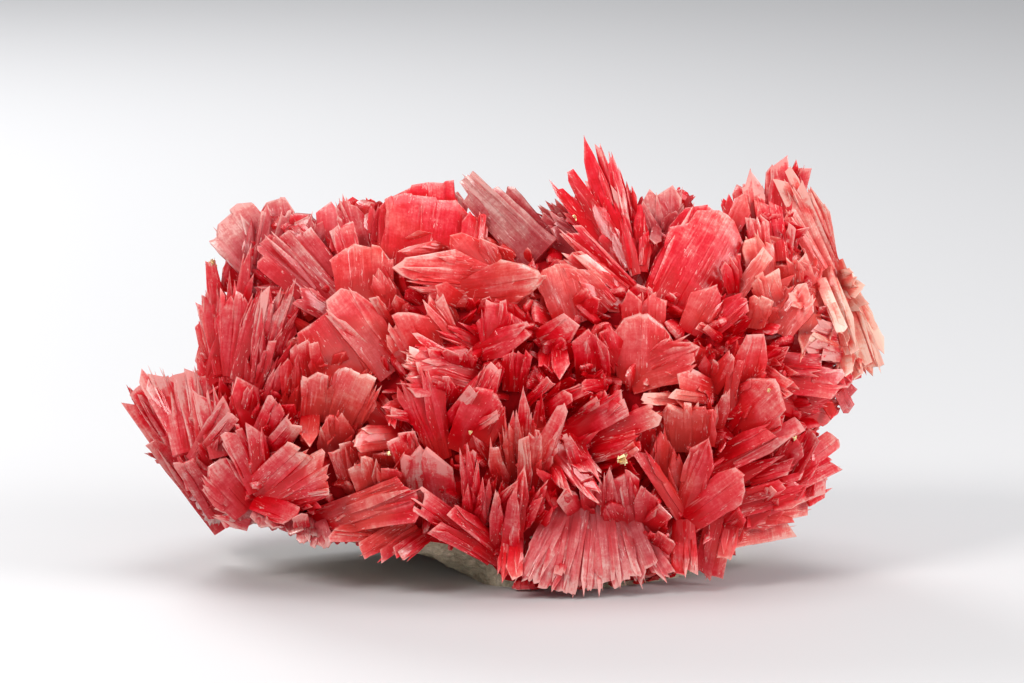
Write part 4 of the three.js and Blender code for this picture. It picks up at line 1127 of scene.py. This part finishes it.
# Each measure of a large blade adds its own number to the seed, so that none follows another.
rear = growths["rear"] = Growth()
for spray in range(SPRAYS):
    root, out, side, up = rear_spray(spray)
    for blade in range(LARGE_IN_SPRAY):
        seed = spray * LARGE_IN_SPRAY + blade
        swing = blade * GOLDEN_ANGLE + math.tau * scatter(seed)
        along = opened(out, side, up, swing, scatter_between(*LARGE_SPREAD, seed + 900))
        width = scatter_between(*LARGE_WIDTH, seed + 500)
        tip, hidden = shortened(root, along, scatter_between(*LARGE_LENGTH, seed + 300), width)
        if (not hidden and root[2] < LOW_ROOT) or tip[1] < FRONT_EDGE:
            continue
        facing = turned(unit(np.cross(along, out)), along, scatter_between(*LARGE_TURN, seed + 700))
        habit = REAR_HABITS[seed % len(REAR_HABITS)]
        thickness = LARGE_THICKNESS * width
        crystal(rear, habit, root, tip, width, thickness, facing, rng.uniform(*LARGE_TONE))
    for blade in range(SMALL_IN_SPRAY):
        swing = blade * GOLDEN_ANGLE + math.tau * rng.random()
        along = opened(out, side, up, swing, rng.uniform(*SMALL_SPREAD))
        start = root + (side * math.cos(swing) + up * math.sin(swing)) * rng.uniform(0, ROOTS_APART)
        width = rng.uniform(*SMALL_WIDTH)
        tip, hidden = shortened(start, along, rng.uniform(*SMALL_LENGTH), width)
        if not hidden or tip[1] < FRONT_EDGE:
            continue
        facing = turned(unit(np.cross(along, out)), along, either_way(SMALL_TURN))
        habit = REAR_HABITS[rng.integers(len(REAR_HABITS))]
        crystal(
            rear, habit, start, tip, width, thickness_of(width) * SMALL_THICKNESS, facing,
            rng.uniform(*SMALL_TONE), width < ONE_PLATE_BELOW)
print("rear points:", rear.size)

# %% [markdown]
# ## Node graphs, written as sums
#
# Finishes and Geometry Nodes trees are both node graphs. One small class wraps a socket, so
# that a sum in the script adds the Math nodes for it, and one method adds any other node with
# its settings and its inputs.

# %% A small helper for node graphs
class Socket:
    """One output of a node. Sums that are written with it add Math nodes to its graph."""

    def __init__(self, graph, output):
        self.graph, self.output = graph, output

    def math(self, operation, *values):
        return self.graph.node("ShaderNodeMath", dict(operation=operation), dict(enumerate(values)))

    def __add__(self, other):
        return self.math("ADD", self, other)

    def __radd__(self, other):
        return self.math("ADD", other, self)

    def __sub__(self, other):
        return self.math("SUBTRACT", self, other)

    def __rsub__(self, other):
        return self.math("SUBTRACT", other, self)

    def __mul__(self, other):
        return self.math("MULTIPLY", self, other)

    def __rmul__(self, other):
        return self.math("MULTIPLY", other, self)

    def of(self, name):
        """Another output of the same node."""
        return Socket(self.graph, self.output.node.outputs[name])


class Graph:
    """A shader or geometry node tree that is filled by calling node()."""

    def __init__(self, tree):
        self.tree = tree
        tree.nodes.clear()

    def node(self, kind, settings=None, inputs=None, output=0):
        made = self.tree.nodes.new(kind)
        for name, value in (settings or {}).items():
            if name == "stops":
                self.set_stops(made.color_ramp, value)
            else:
                setattr(made, name, value)
        for key, value in (inputs or {}).items():
            if isinstance(value, Socket):
                self.tree.links.new(value.output, made.inputs[key])
            else:
                made.inputs[key].default_value = value
        return Socket(self, made.outputs[output]) if made.outputs else made

    @staticmethod
    def set_stops(ramp, stops):
        while len(ramp.elements) < len(stops):
            ramp.elements.new(1)
        for element, (place, colour) in zip(ramp.elements, stops):
            element.position = place
            element.color = (*colour, 1)

    def mix(self, a, b, factor):
        """Colours mixed by a factor."""
        return self.node("ShaderNodeMix", dict(data_type="RGBA"), {0: factor, 6: a, 7: b}, output=2)

    def ramp(self, stops, factor):
        """A colour ramp: stops of place and colour."""
        return self.node("ShaderNodeValToRGB", dict(stops=stops), {"Fac": factor})

    def span(self, value, low, high, least=0.0, most=1.0, way="LINEAR"):
        """Where a value lies between low and high, as a number from least to most."""
        return self.node("ShaderNodeMapRange", dict(interpolation_type=way), {
            "Value": value, "From Min": low, "From Max": high, "To Min": least, "To Max": most})

    def end_material(self, surface):
        """Ends a material, in a Principled shader with these inputs or in the shader given."""
        if isinstance(surface, dict):
            surface = self.node("ShaderNodeBsdfPrincipled", None, surface)
        self.node("ShaderNodeOutputMaterial", None, {"Surface": surface})

    def end_tree(self, geometry, material):
        """Ends a geometry tree with its material set."""
        dressed = self.node("GeometryNodeSetMaterial", None, {"Geometry": geometry, "Material": material})
        self.node("NodeGroupOutput", None, {"Geometry": dressed})


def set_input(modifier, name, value):
    """Gives a modifier's named input a value, by the socket's identifier."""
    for item in modifier.node_group.interface.items_tree:
        if item.item_type == "SOCKET" and item.in_out == "INPUT" and item.name == name:
            modifier[item.identifier] = value


def geometry_tree(name, sockets):
    """A new geometry tree with a geometry in and out and named inputs: name to type and value."""
    tree = bpy.data.node_groups.new(name, "GeometryNodeTree")
    tree.interface.new_socket("Geometry", in_out="INPUT", socket_type="NodeSocketGeometry")
    for label, (kind, value) in sockets.items():
        socket = tree.interface.new_socket(label, in_out="INPUT", socket_type="NodeSocket" + kind)
        if value is not None:
            socket.default_value = value
    tree.interface.new_socket("Geometry", in_out="OUTPUT", socket_type="NodeSocketGeometry")
    graph = Graph(tree)
    return graph, graph.node("NodeGroupInput")


def attribute(graph, name, kind="FLOAT"):
    return graph.node("GeometryNodeInputNamedAttribute", dict(data_type=kind), {"Name": name})


def vector(graph, operation, *values):
    return graph.node("ShaderNodeVectorMath", dict(operation=operation), dict(enumerate(values)))


def store(graph, geometry, name, value, kind="FLOAT_VECTOR"):
    return graph.node("GeometryNodeStoreNamedAttribute", dict(data_type=kind, domain="POINT"), {
        "Geometry": geometry, "Name": name, "Value": value})


print("sums that the helper writes as nodes: + - *")

# %% [markdown]
# ## Finishes
#
# Rhodonite is translucent. Light enters a blade, is tinted by it and comes out elsewhere, red
# more easily than the rest, so gaps between blades glow deep red while thin edges and frosty
# ends turn pale. A third of each surface is therefore a translucent shader, which lets red
# light through from behind, and the rest is a glossy one with a clear coat. Much of the deep
# red of the gaps and the paleness of the edges is painted into the colour as well, as painted
# shade and painted highlight. Scattering under the surface was not chosen, because it blurs
# the fine strips away on blades this thin.
#
# On that lie the things that change over the surface: the tone of each crystal, deeper towards
# its root, with painted shade where its neighbours close round it and a painted highlight along
# its edges and end, fibres, ribs and steps along the blade, cloudy patches, frosty streaks,
# small pale specks with painted glints among them, and a bump along the fibres that breaks up
# the glassy shine.

# %% The crystal finish
RED_TONES = [
    (.0, (.60, .002, .007)), (.2, (.71, .005, .015)), (.4, (.77, .018, .037)), (.6, (.80, .064, .078)),
    (.8, (.84, .172, .170)), (1.0, (.88, .40, .37)),
]
PEACH_TONES = [
    (.2, (.84, .13, .10)), (.5, (.91, .29, .22)), (.8, (.95, .48, .36)), (1.0, (.99, .76, .61)),
]
SMOKY_TONES = [
    (.2, (.45, .05, .06)), (.5, (.55, .13, .135)), (.8, (.63, .26, .24)), (1.0, (.76, .46, .42)),
]
FROST_AND_GLINT = (.95, .64, .60)
GLOW = (.98, .05, .055)


def new_material(name):
    material = bpy.data.materials.new(name)
    material.use_nodes = True
    return material, Graph(material.node_tree)


def shader_attribute(graph, name, output="Fac"):
    return graph.node("ShaderNodeAttribute", dict(attribute_name=name)).of(output)


def noise(graph, coordinates, scale, detail, roughness):
    return graph.node("ShaderNodeTexNoise", None, {
        "Vector": coordinates, "Scale": scale, "Detail": detail, "Roughness": roughness})


def band(graph, value, low, high):
    """0 below low, 1 above high, and smooth between."""
    return graph.span(value, low, high, way="SMOOTHSTEP")


def stretched(graph, coordinates, *scales):
    """Coordinates with their own scale along, across and through a blade."""
    return vector(graph, "MULTIPLY", coordinates, scales)


def crystal_material(name, glow, gloss):
    """The finish of the blades: glow is the translucent share and gloss the clear coat's weight."""
    material, g = new_material(name)
    grain = shader_attribute(g, "grain", "Vector")
    tone = shader_attribute(g, "tone")
    along = shader_attribute(g, "along")
    rim = shader_attribute(g, "rim")
    openness = shader_attribute(g, "openness")
    place = g.node("ShaderNodeTexCoord").of("Object")

    # Scales are per metre: along, across and through a blade.
    fibres = noise(g, stretched(g, grain, 150, 3400, 3400), 1.0, 3, .6)
    ribs = noise(g, stretched(g, grain, 60, 1000, 1000), 1.0, 2, .6)
    steps = noise(g, stretched(g, grain, 1500, 260, 260), 1.0, 2, .6)
    clouds = noise(g, place, 420, 4, .62)
    veil = noise(g, stretched(g, grain, 130, 420, 420), 1.0, 3, .6)
    flecks = noise(g, stretched(g, grain, 900, 4600, 4600), 1.0, 2, .6)
    frost = band(g, veil + (fibres - .5) * .8 + rim * .06, .62, .86)
    dust = noise(g, place, 2600, 2, .6)
    # Pale specks along the fibres, with painted glints that gather along the edges and ends.
    specks_and_painted_glints = band(g, flecks + (veil - .5) * .5 + rim * .05, .68, .74)

    shade = tone * .8
    for pattern, share in ((clouds, 1.1), (fibres, .5), (ribs, .45), (steps, .4), (dust, .45)):
        shade = shade + (pattern - .5) * share
    # Painted shade and painted highlight: the openness term darkens and reddens closed places between the
    # blades, and the rim term makes edges and ends paler.
    shade = shade + openness * .95 - 1.2 + along * .5 + rim * .28
    shade = (shade - .5) * 1.12 + .5
    red, peach, smoky = (g.ramp(stops, shade) for stops in (RED_TONES, PEACH_TONES, SMOKY_TONES))
    warmth = band(g, noise(g, place, 70, 2, .5), .5, .7) * .4
    tint = shader_attribute(g, "tint")
    colour = g.mix(g.mix(red, peach, tint + warmth), smoky, 0 - tint)
    # The frosty streaks, and the specks with their painted glints, turn towards one pale colour.
    colour = g.mix(colour, (*FROST_AND_GLINT, 1), frost.math("MAXIMUM", frost * .26, specks_and_painted_glints * .7))
    bump = g.node("ShaderNodeBump", None, {"Strength": .6, "Distance": .00013, "Height": fibres})
    roughness = .14 + fibres * .2 + frost * .2
    shader = g.node("ShaderNodeBsdfPrincipled", None, {
        "Base Color": colour, "Roughness": roughness, "Normal": bump,
        "IOR": 1.62, "Specular IOR Level": .25, "Coat Weight": openness * gloss, "Coat Roughness": .13})
    through = g.node("ShaderNodeBsdfTranslucent", None, {"Color": (*GLOW, 1)})
    g.end_material(g.node("ShaderNodeMixShader", None, {0: glow, 1: shader, 2: through}))
    return material


rhodonite = crystal_material("rhodonite", .33, .52)
print("crystal finish:", rhodonite.name)

# %% Dress the crystals
def show(name, data):
    """A new object in the scene, from a mesh, a light or a camera."""
    piece = bpy.data.objects.new(name, data)
    bpy.context.scene.collection.objects.link(piece)
    return piece


def dressed_copy(name, source, tree, values):
    """A plain mesh made by running a geometry tree on a source mesh."""
    carrier = show(name + " source", source)
    modifier = carrier.modifiers.new("tree", "NODES")
    modifier.node_group = tree
    for label, value in values.items():
        set_input(modifier, label, value)
    graph = bpy.context.evaluated_depsgraph_get()
    mesh = bpy.data.meshes.new_from_object(carrier.evaluated_get(graph), depsgraph=graph)
    carrier.modifiers.remove(modifier)
    bpy.data.objects.remove(carrier)
    return show(name, mesh)


pieces = []
for name, growth in growths.items():
    mesh = growth.mesh(name)
    mesh.materials.append(rhodonite)
    pieces.append(show(name + "_crystals", mesh))
    print(name, "triangles:", 2 * len(mesh.polygons))

# %% [markdown]
# ## The root mass
#
# Behind the blades is the solid inside of the cluster, where all the roots meet. Only slivers
# of it are seen, in the gaps: its red is rhodonite's own and its darkness is painted shade.
# Short blades cover it. There are too many of them to place one by one, so a Geometry Nodes
# tree scatters a few shapes over the mass, each with its own size, turn and tone, and makes
# them one mesh.

# %% The root mass
def loft(name, rings):
    """A closed mesh through level rings of points."""
    sides = len(rings[0])
    points = [tuple(np.array(p) * MM) for ring in rings for p in ring]
    last = (len(rings) - 1) * sides
    faces = [tuple(range(sides))[::-1], tuple(last + i for i in range(sides))]
    for level in range(len(rings) - 1):
        low = level * sides
        for i in range(sides):
            j = (i + 1) % sides
            faces.append((low + i, low + j, low + sides + j, low + sides + i))
    mesh = bpy.data.meshes.new(name)
    mesh.from_pydata(points, [], faces)
    return mesh


MASS_SIDES = 72
MASS_INSET = 6.5
MASS_LEVELS = np.linspace(.6, 57, 26)
CROWN_START, CROWN_HEIGHT, CROWN_DROP = 40, 12, 4.2
BACK_MARGIN, FRONT_MARGIN = 2, .6


def mass_ring(z):
    """A level ring inside the form, lower towards the crown and clear of the underside."""
    inset = min(MASS_INSET, form_at(z)[2] - 1)
    drop = CROWN_DROP * max(0, z - CROWN_START) / CROWN_HEIGHT
    ring = []
    for side in range(MASS_SIDES):
        x, y, _ = point_of_form(math.tau * side / MASS_SIDES, z, inset)
        low = BACK_FOOT + BACK_MARGIN if y > 0 else np.interp(x, *UNDERSIDE.T) + FRONT_MARGIN
        ring.append((x, y, max(z - drop, low)))
    return ring


mass_mesh = loft("root mass", [mass_ring(z) for z in MASS_LEVELS])
print("root mass faces:", len(mass_mesh.polygons))

# %% The shapes of the small blades
SMALL_SHAPES = ("leaf", "chisel", "lance", "slab", "chisel", "round", "lance", "chisel")
LEVEL_FRAME = (np.array([1, 0, 0]), np.array([0, 1, 0]), np.array([0, 0, 1]))
blade_shapes = bpy.data.collections.new("blade shapes")
for order, habit in enumerate(SMALL_SHAPES):
    shape = Growth(on_ground=False)
    plate(shape, habit, np.zeros(3), LEVEL_FRAME, np.full(3, 1 / MM), 0, FEW_ROWS, unit_shape=True)
    mesh = shape.mesh(f"blade {order} {habit}")
    mesh.attributes.remove(mesh.attributes["tone"])
    blade_shapes.objects.link(bpy.data.objects.new(f"blade_{order}", mesh))
print("small blade shapes:", len(SMALL_SHAPES), "faces each:", len(mesh.polygons))

# %% The tree that grows small blades
grow_graph, given = geometry_tree("Small blades", {
    "Blade shapes": ("Collection", None), "Material": ("Material", None),
    "Spacing": ("Float", .0017), "Seed": ("Int", 4),
    "Length least": ("Float", .0035), "Length most": ("Float", .0075),
    "Width least": ("Float", .0006), "Width most": ("Float", .0017), "Tilt": ("Float", .75)})


def random_value(graph, kind, least, most, salt):
    """A random number or vector for each point, from the tree's own seed."""
    seed = given.of("Seed") + salt
    first, output = (2, 1) if kind == "FLOAT" else (0, 0)
    return graph.node("FunctionNodeRandomValue", dict(data_type=kind), {
        first: least, first + 1: most, "Seed": seed}, output)


DENSITY_MOST = 900000.0
BLADE_THICKNESS = .45
g = grow_graph
scattered = g.node("GeometryNodeDistributePointsOnFaces", dict(distribute_method="POISSON"), {
    "Mesh": given, "Distance Min": given.of("Spacing"), "Density Max": DENSITY_MOST,
    "Seed": given.of("Seed")})
out_turn = g.node("FunctionNodeAlignRotationToVector", dict(axis="X"), {"Vector": scattered.of("Normal")})
limits = g.node("ShaderNodeCombineXYZ", None, {0: math.pi, 1: given.of("Tilt"), 2: given.of("Tilt")})
swing = g.node("FunctionNodeEulerToRotation", None, {
    "Euler": vector(g, "MULTIPLY", random_value(g, "FLOAT_VECTOR", (-1, -1, -1), (1, 1, 1), 1), limits)})
turned_out = g.node("FunctionNodeRotateRotation", dict(rotation_space="LOCAL"), {
    "Rotation": out_turn, "Rotate By": swing})
base = g.node("ShaderNodeSeparateXYZ", None, {"Vector": g.node("GeometryNodeInputPosition")})
level = base.of("Z")
# Blades are shorter near the crest and near the rock, and longer at the back.
behind = g.span(base.of("Y"), .004, .010)
lower = g.span(level, .045, .040)
shorter = g.span(level, .04, .05, 1.0, .5) * g.span(level, .0085, .016, .35, 1.0)
shorter = shorter * (behind * lower * .8 + 1)
width = random_value(g, "FLOAT", given.of("Width least"), given.of("Width most"), 2)
size = g.node("ShaderNodeCombineXYZ", None, {
    0: random_value(g, "FLOAT", given.of("Length least"), given.of("Length most"), 3) * shorter,
    1: width, 2: width * BLADE_THICKNESS})
points = scattered
for label, kind, value in (
    ("size", "FLOAT_VECTOR", size),
    ("tone", "FLOAT", random_value(g, "FLOAT", .35, .7, 5)),
    ("seed", "FLOAT", random_value(g, "FLOAT", 0.0, 1.0, 6)),
):
    points = store(g, points, label, value, kind)
instances = g.node("GeometryNodeInstanceOnPoints", None, {
    "Points": points, "Pick Instance": True, "Rotation": turned_out,
    "Scale": attribute(g, "size", "FLOAT_VECTOR"),
    "Instance": g.node("GeometryNodeCollectionInfo", None, {
        "Collection": given.of("Blade shapes"), "Separate Children": True, "Reset Children": True})})
real = g.node("GeometryNodeRealizeInstances", None, {"Geometry": instances})
seed = attribute(g, "seed")
shift = g.node("ShaderNodeCombineXYZ", None, {0: seed * .9, 1: seed * .37, 2: seed * .53})
inside = vector(g, "MULTIPLY", attribute(g, "grain", "FLOAT_VECTOR"), attribute(g, "size", "FLOAT_VECTOR"))
place = g.node("ShaderNodeSeparateXYZ", None, {"Vector": g.node("GeometryNodeInputPosition")})
raised = g.node("ShaderNodeCombineXYZ", None, {
    0: place, 1: place.of("Y"), 2: place.of("Z").math("MAXIMUM", place.of("Z"), LOWEST * MM)})
real = g.node("GeometryNodeSetPosition", None, {"Geometry": real, "Position": raised})
marked = store(g, real, "grain", vector(g, "ADD", inside, shift))
g.end_tree(marked, given.of("Material"))

small_blades = dressed_copy("small_blades", mass_mesh, g.tree, {
    "Blade shapes": blade_shapes, "Material": rhodonite, "Spacing": .0024, "Seed": 4,
    "Length least": .0028, "Length most": .0052, "Width least": .0014, "Width most": .0042, "Tilt": .9})
print("small blades triangles:", 2 * len(small_blades.data.polygons))

# %% [markdown]
# ## How open each place is
#
# Deep between the blades the colour is painted a deep saturated red: painted shade, for the
# light that has come through a lot of crystal to reach there. Out in the open it is paler. So
# each point gets a value for how open it is: rays go out from it, and the share that gets
# clear of the cluster is kept as an attribute. The finish uses it for the painted shade and
# for less clear coat in closed places.

# %% Cast rays from every point
RAYS = 3
RAY_REACH = .009
RAY_LIFT = .00018
RAY_SPREAD = .85


def ray_directions(count):
    """Directions spread evenly over a half ball round +Z."""
    steps = np.arange(count) + .5
    z = 1 - steps / count * RAY_SPREAD
    turn = steps * GOLDEN_ANGLE
    flat = np.sqrt(1 - z * z)
    return np.stack([flat * np.cos(turn), flat * np.sin(turn), z], -1)


def mark_openness(meshes):
    points, faces, total = [], [], 0
    for mesh in meshes:
        co = np.empty(len(mesh.vertices) * 3)
        mesh.vertices.foreach_get("co", co)
        points.append(co.reshape(-1, 3))
        corners = np.empty(len(mesh.loops), np.int32)
        mesh.loops.foreach_get("vertex_index", corners)
        faces.append(corners.reshape(-1, 4) + total)
        total += len(mesh.vertices)
    tree = BVHTree.FromPolygons(np.concatenate(points).tolist(), np.concatenate(faces).tolist())
    spread = ray_directions(RAYS)
    for mesh, co in zip(meshes, points):
        normals = np.empty(len(mesh.vertices) * 3)
        mesh.vertices.foreach_get("normal", normals)
        values = []
        for point, normal in zip(co, normals.reshape(-1, 3)):
            turn = Vector(normal).to_track_quat("Z", "X").to_matrix()
            start = Vector(point + normal * RAY_LIFT)
            clear = 0
            for direction in spread:
                distance = tree.ray_cast(start, turn @ Vector(direction), RAY_REACH)[3]
                clear += 1 if distance is None else distance / RAY_REACH
            values.append(clear / RAYS)
        layer = mesh.attributes.new("openness", "FLOAT", "POINT")
        layer.data.foreach_set("value", values)
        print(mesh.name, "mean openness:", round(float(np.mean(values)), 2))


mark_openness([piece.data for piece in (*pieces, small_blades)])

# %% Finish the root mass
# The root mass is painted a dark deep red: rhodonite's red, darkened as painted shade for the gaps it is
# seen in.
ROOT_SHADE_TONES = [(.3, (.30, .002, .005)), (.75, (.42, .005, .010))]
root_shade_material, g = new_material("rhodonite roots in painted shade")
place = g.node("ShaderNodeTexCoord").of("Object")
mottle = noise(g, place, 240, 3, .6)
colour = g.ramp(ROOT_SHADE_TONES, mottle)
bump = g.node("ShaderNodeBump", None, {"Strength": .5, "Distance": .0006, "Height": mottle})
g.end_material({"Base Color": colour, "Roughness": .9, "Normal": bump, "Specular IOR Level": .1})
root_mass = show("root_mass", mass_mesh)
mass_mesh.materials.append(root_shade_material)
print("root mass height, mm:", round(root_mass.dimensions.z / MM, 1))

# %% [markdown]
# ## The matrix
#
# The rock has three outlines: its flat foot, its widest level and its top, which the crystals
# hide. A tree divides their loft finely and pushes it in and out with layers of noise, more on
# the sides than on the foot, which stays flat.

# %% The rock
MATRIX_FOOT = [
    (30, 2), (27, 12), (18, 20), (2, 22), (-10, 20), (-14, 17),
    (-11.5, 11), (-8, 1), (-5, -8.5), (-1, -15), (12, -17), (25, -9),
]
MATRIX_WAIST = [
    (38, 2), (34, 14), (20, 21), (0, 23), (-24, 21), (-42, 10),
    (-43, 0), (-38, -10), (-24, -17), (-4, -20), (14, -20), (32, -13),
]
MATRIX_TOP = [
    (28, 2), (24, 9), (14, 14), (0, 15), (-16, 14), (-30, 8),
    (-32, 0), (-27, -7), (-16, -11), (-3, -13), (10, -13), (23, -9),
]
WAIST_HEIGHT = 8.6
TOP_HEIGHT = 17.0
ROCK_SIDES = 96
FLARE = .8
LOWER_SHARES, UPPER_SHARES = np.linspace(.12, 1, 10), np.linspace(.15, 1, 7)


def smooth_ring(outline, z):
    """A closed outline, rounded between its corners."""
    corners = np.array(outline, float)
    angle = np.linspace(0, len(corners), ROCK_SIDES, endpoint=False)
    ring = []
    for a in angle:
        i, t = int(a), a - int(a)
        p0, p1, p2, p3 = (corners[(i + k) % len(corners)] for k in (-1, 0, 1, 2))
        point = .5 * (2 * p1 + (p2 - p0) * t + (2 * p0 - 5 * p1 + 4 * p2 - p3) * t**2
                      + (3 * p1 - p0 - 3 * p2 + p3) * t**3)
        ring.append((point[0], point[1], z))
    return ring


def blend_rings(a, b, share, z):
    """A level ring that lies a share of the way from one ring to another."""
    return [tuple(np.array(p[:2]) * (1 - share) + np.array(q[:2]) * share) + (z,) for p, q in zip(a, b)]


foot = smooth_ring(MATRIX_FOOT, 0)
waist = smooth_ring(MATRIX_WAIST, WAIST_HEIGHT)
top = smooth_ring(MATRIX_TOP, TOP_HEIGHT)
rings = [foot]
for share in LOWER_SHARES:
    rings.append(blend_rings(foot, waist, share, WAIST_HEIGHT * share**FLARE))
for share in UPPER_SHARES:
    rings.append(blend_rings(waist, top, share, WAIST_HEIGHT + (TOP_HEIGHT - WAIST_HEIGHT) * share))

rock_graph, given = geometry_tree("Rough rock", {
    "Material": ("Material", None), "Lump height": ("Float", .0016), "Grit height": ("Float", .0005)})
g = rock_graph
fine = g.node("GeometryNodeSubdivideMesh", None, {"Mesh": given, "Level": 2})
place = g.node("GeometryNodeInputPosition")
lumps = noise(g, place, 95, 2, .5)
grit = noise(g, place, 400, 4, .7)
height = g.node("ShaderNodeSeparateXYZ", None, {"Vector": place}).of("Z")
off_foot = g.span(height, .00005, .0015)
push = ((lumps - .55) * given.of("Lump height") * 2 + (grit - .5) * given.of("Grit height") * 2) * off_foot
offset = g.node("ShaderNodeVectorMath", dict(operation="SCALE"), {
    "Vector": g.node("GeometryNodeInputNormal"), "Scale": push})
moved = g.node("GeometryNodeSetPosition", None, {"Geometry": fine, "Offset": offset})
g.end_tree(moved, given.of("Material"))

ROCK_TONES = [
    (.28, (.13, .105, .07)), (.43, (.33, .28, .19)), (.56, (.54, .47, .33)), (.7, (.74, .62, .50)),
]
ROCK_STAIN = (.42, .16, .13, 1)
rock_material, g = new_material("matrix rock")
place = g.node("ShaderNodeTexCoord").of("Object")
patches = noise(g, place, 110, 3, .6)
grit = noise(g, place, 900, 3, .7)
colour = g.ramp(ROCK_TONES, patches * .6 + grit * .5)
stain = band(g, noise(g, place, 70, 2, .5), .55, .7)
colour = g.mix(colour, ROCK_STAIN, stain * .5)
bump = g.node("ShaderNodeBump", None, {"Strength": .9, "Distance": .0011, "Height": grit})
g.end_material({"Base Color": colour, "Roughness": .62 + grit * .25, "Normal": bump})
matrix_rock = dressed_copy("matrix_rock", loft("rock", rings), rock_graph.tree, {
    "Material": rock_material, "Lump height": .0018, "Grit height": .0011})
print("rock faces:", len(matrix_rock.data.polygons))

# %% [markdown]
# ## Ore grains
#
# A few brassy metallic grains sit among the blades. A ball would look like a bead, so each is
# a small clump of thin flakes that lie across one another.

# %% The ore grains
GRAINS = [
    # x, chart height, how far before the form, size
    (-43.6, 45.0, -1.5, 1.2), (10.3, 52.0, 3.0, .6), (17.2, 16.5, 4.0, 1.5), (-5.0, 20.3, 5.0, .5),
    (-17.0, 17.3, 3.0, .5), (38.9, 26.5, 4.0, .5), (42.8, 19.4, 3.0, .5),
]
BRASSY, TARNISHED = (.98, .80, .46, 1), (.70, .52, .26, 1)
ore_material, g = new_material("ore grains")
place = g.node("ShaderNodeTexCoord").of("Object")
tarnish = noise(g, place, 1500, 2, .6)
g.end_material({
    "Base Color": g.mix(BRASSY, TARNISHED, tarnish), "Metallic": 1.0, "Roughness": .3 + tarnish * .25})
FLAKES = 7
FLAKE_THICKNESS = .14
FLAKE_LENGTH, FLAKE_WIDTH = (.6, 1.1), (.25, .55)
FLAKES_APART = .4
FLAKE_FACES = [(0, 1, 3, 2), (4, 6, 7, 5), (0, 4, 5, 1), (2, 3, 7, 6), (0, 2, 6, 4), (1, 5, 7, 3)]


def flake(centre, long, wide, turn):
    """The corners of a thin flake, narrower at one end."""
    spin = Euler(turn).to_matrix()
    corners = [
        (x * long, y * wide * (.8 - x * .7), z * FLAKE_THICKNESS * MM)
        for x in (-.5, .5) for y in (-.5, .5) for z in (-.5, .5)]
    return [tuple(Vector(centre) + spin @ Vector(corner)) for corner in corners]


points, faces = [], []
for x, height, lift, size in GRAINS:
    centre = chart_point(x, height, lift * LIFT_SHARE)
    for _ in range(FLAKES):
        middle = (centre + rng.uniform(-FLAKES_APART, FLAKES_APART, 3) * size) * MM
        start = len(points)
        long, wide = size * rng.uniform(*FLAKE_LENGTH) * MM, size * rng.uniform(*FLAKE_WIDTH) * MM
        points += flake(middle, long, wide, tuple(rng.uniform(0, 3, 3)))
        faces += [tuple(start + i for i in face) for face in FLAKE_FACES]
grain_mesh = bpy.data.meshes.new("ore grains")
grain_mesh.from_pydata(points, [], faces)
grain_mesh.materials.append(ore_material)
ore_grains = show("ore_grains", grain_mesh)
print("ore grains:", len(GRAINS))

# %% [markdown]
# ## The stage
#
# A pale floor, soft light from large panels and a camera with a long lens, ten degrees above
# the level, so that the front is seen as the chart draws it.

# %% Floor, light and camera
def area_light(name, place, target, size, power, colour=(1, 1, 1)):
    light = bpy.data.lights.new(name, "AREA")
    light.energy, light.size, light.color = power, size, colour
    lamp = show(name, light)
    lamp.location = place
    lamp.rotation_euler = (Vector(target) - Vector(place)).to_track_quat("-Z", "Y").to_euler()


FLOOR_REACH = 6
corners = [(x * FLOOR_REACH, y * FLOOR_REACH, 0) for x, y in ((-1, -1), (1, -1), (1, 1), (-1, 1))]
floor_mesh = bpy.data.meshes.new("floor")
floor_mesh.from_pydata(corners, [], [(0, 1, 2, 3)])
floor = show("floor", floor_mesh)
floor_material, g = new_material("floor")
g.end_material({"Base Color": (.58, .58, .59, 1), "Roughness": .6})
floor_mesh.materials.append(floor_material)

SKY, SKY_STRENGTH = (.86, .88, .92, 1), .32
world = bpy.data.worlds.new("studio")
world.use_nodes = True
background = world.node_tree.nodes["Background"].inputs
background["Color"].default_value, background["Strength"].default_value = SKY, SKY_STRENGTH
bpy.context.scene.world = world

middle = (0, 0, .03)
area_light("key", (-.38, -.42, .46), middle, .22, 3.2, (1, .97, .94))
area_light("top", (.05, .05, .62), middle, .35, 1.5)
area_light("front", (.08, -.7, .10), middle, .45, 1.2)
area_light("side", (.55, -.25, .28), middle, .28, 3.3, (1, .98, .96))
area_light("rim", (-.25, .5, .35), middle, .25, 2.5)

PICTURE_WIDTH = .1536
VIEW_DISTANCE = 1.4
SENSOR = 36.0
CENTRE_X, CENTRE_HEIGHT = .0011, .0337
camera = show("camera", bpy.data.cameras.new("camera"))
camera.data.sensor_width = SENSOR
camera.data.lens = SENSOR * VIEW_DISTANCE / PICTURE_WIDTH
sight = Vector((0, math.cos(CHART_LEAN), -math.sin(CHART_LEAN)))
target = Vector((CENTRE_X, CENTRE_HEIGHT * math.sin(CHART_LEAN), CENTRE_HEIGHT * math.cos(CHART_LEAN)))
camera.location = target - sight * VIEW_DISTANCE
camera.rotation_euler = sight.to_track_quat("-Z", "Y").to_euler()
camera.data.clip_end = 20
bpy.context.scene.camera = camera
bpy.context.scene.view_settings.view_transform = "Standard"
print("picture width at the object, mm:", PICTURE_WIDTH / MM)

# %% [markdown]
# ## Hand the pieces over
#
# Everything rides on the one body of the frame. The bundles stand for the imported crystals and
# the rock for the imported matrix.

# %% Ride, replace and finish
for piece in (*pieces, small_blades, root_mass, matrix_rock, ore_grains):
    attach(piece, "root")
for piece in pieces:
    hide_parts("crystals")
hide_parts("matrix")
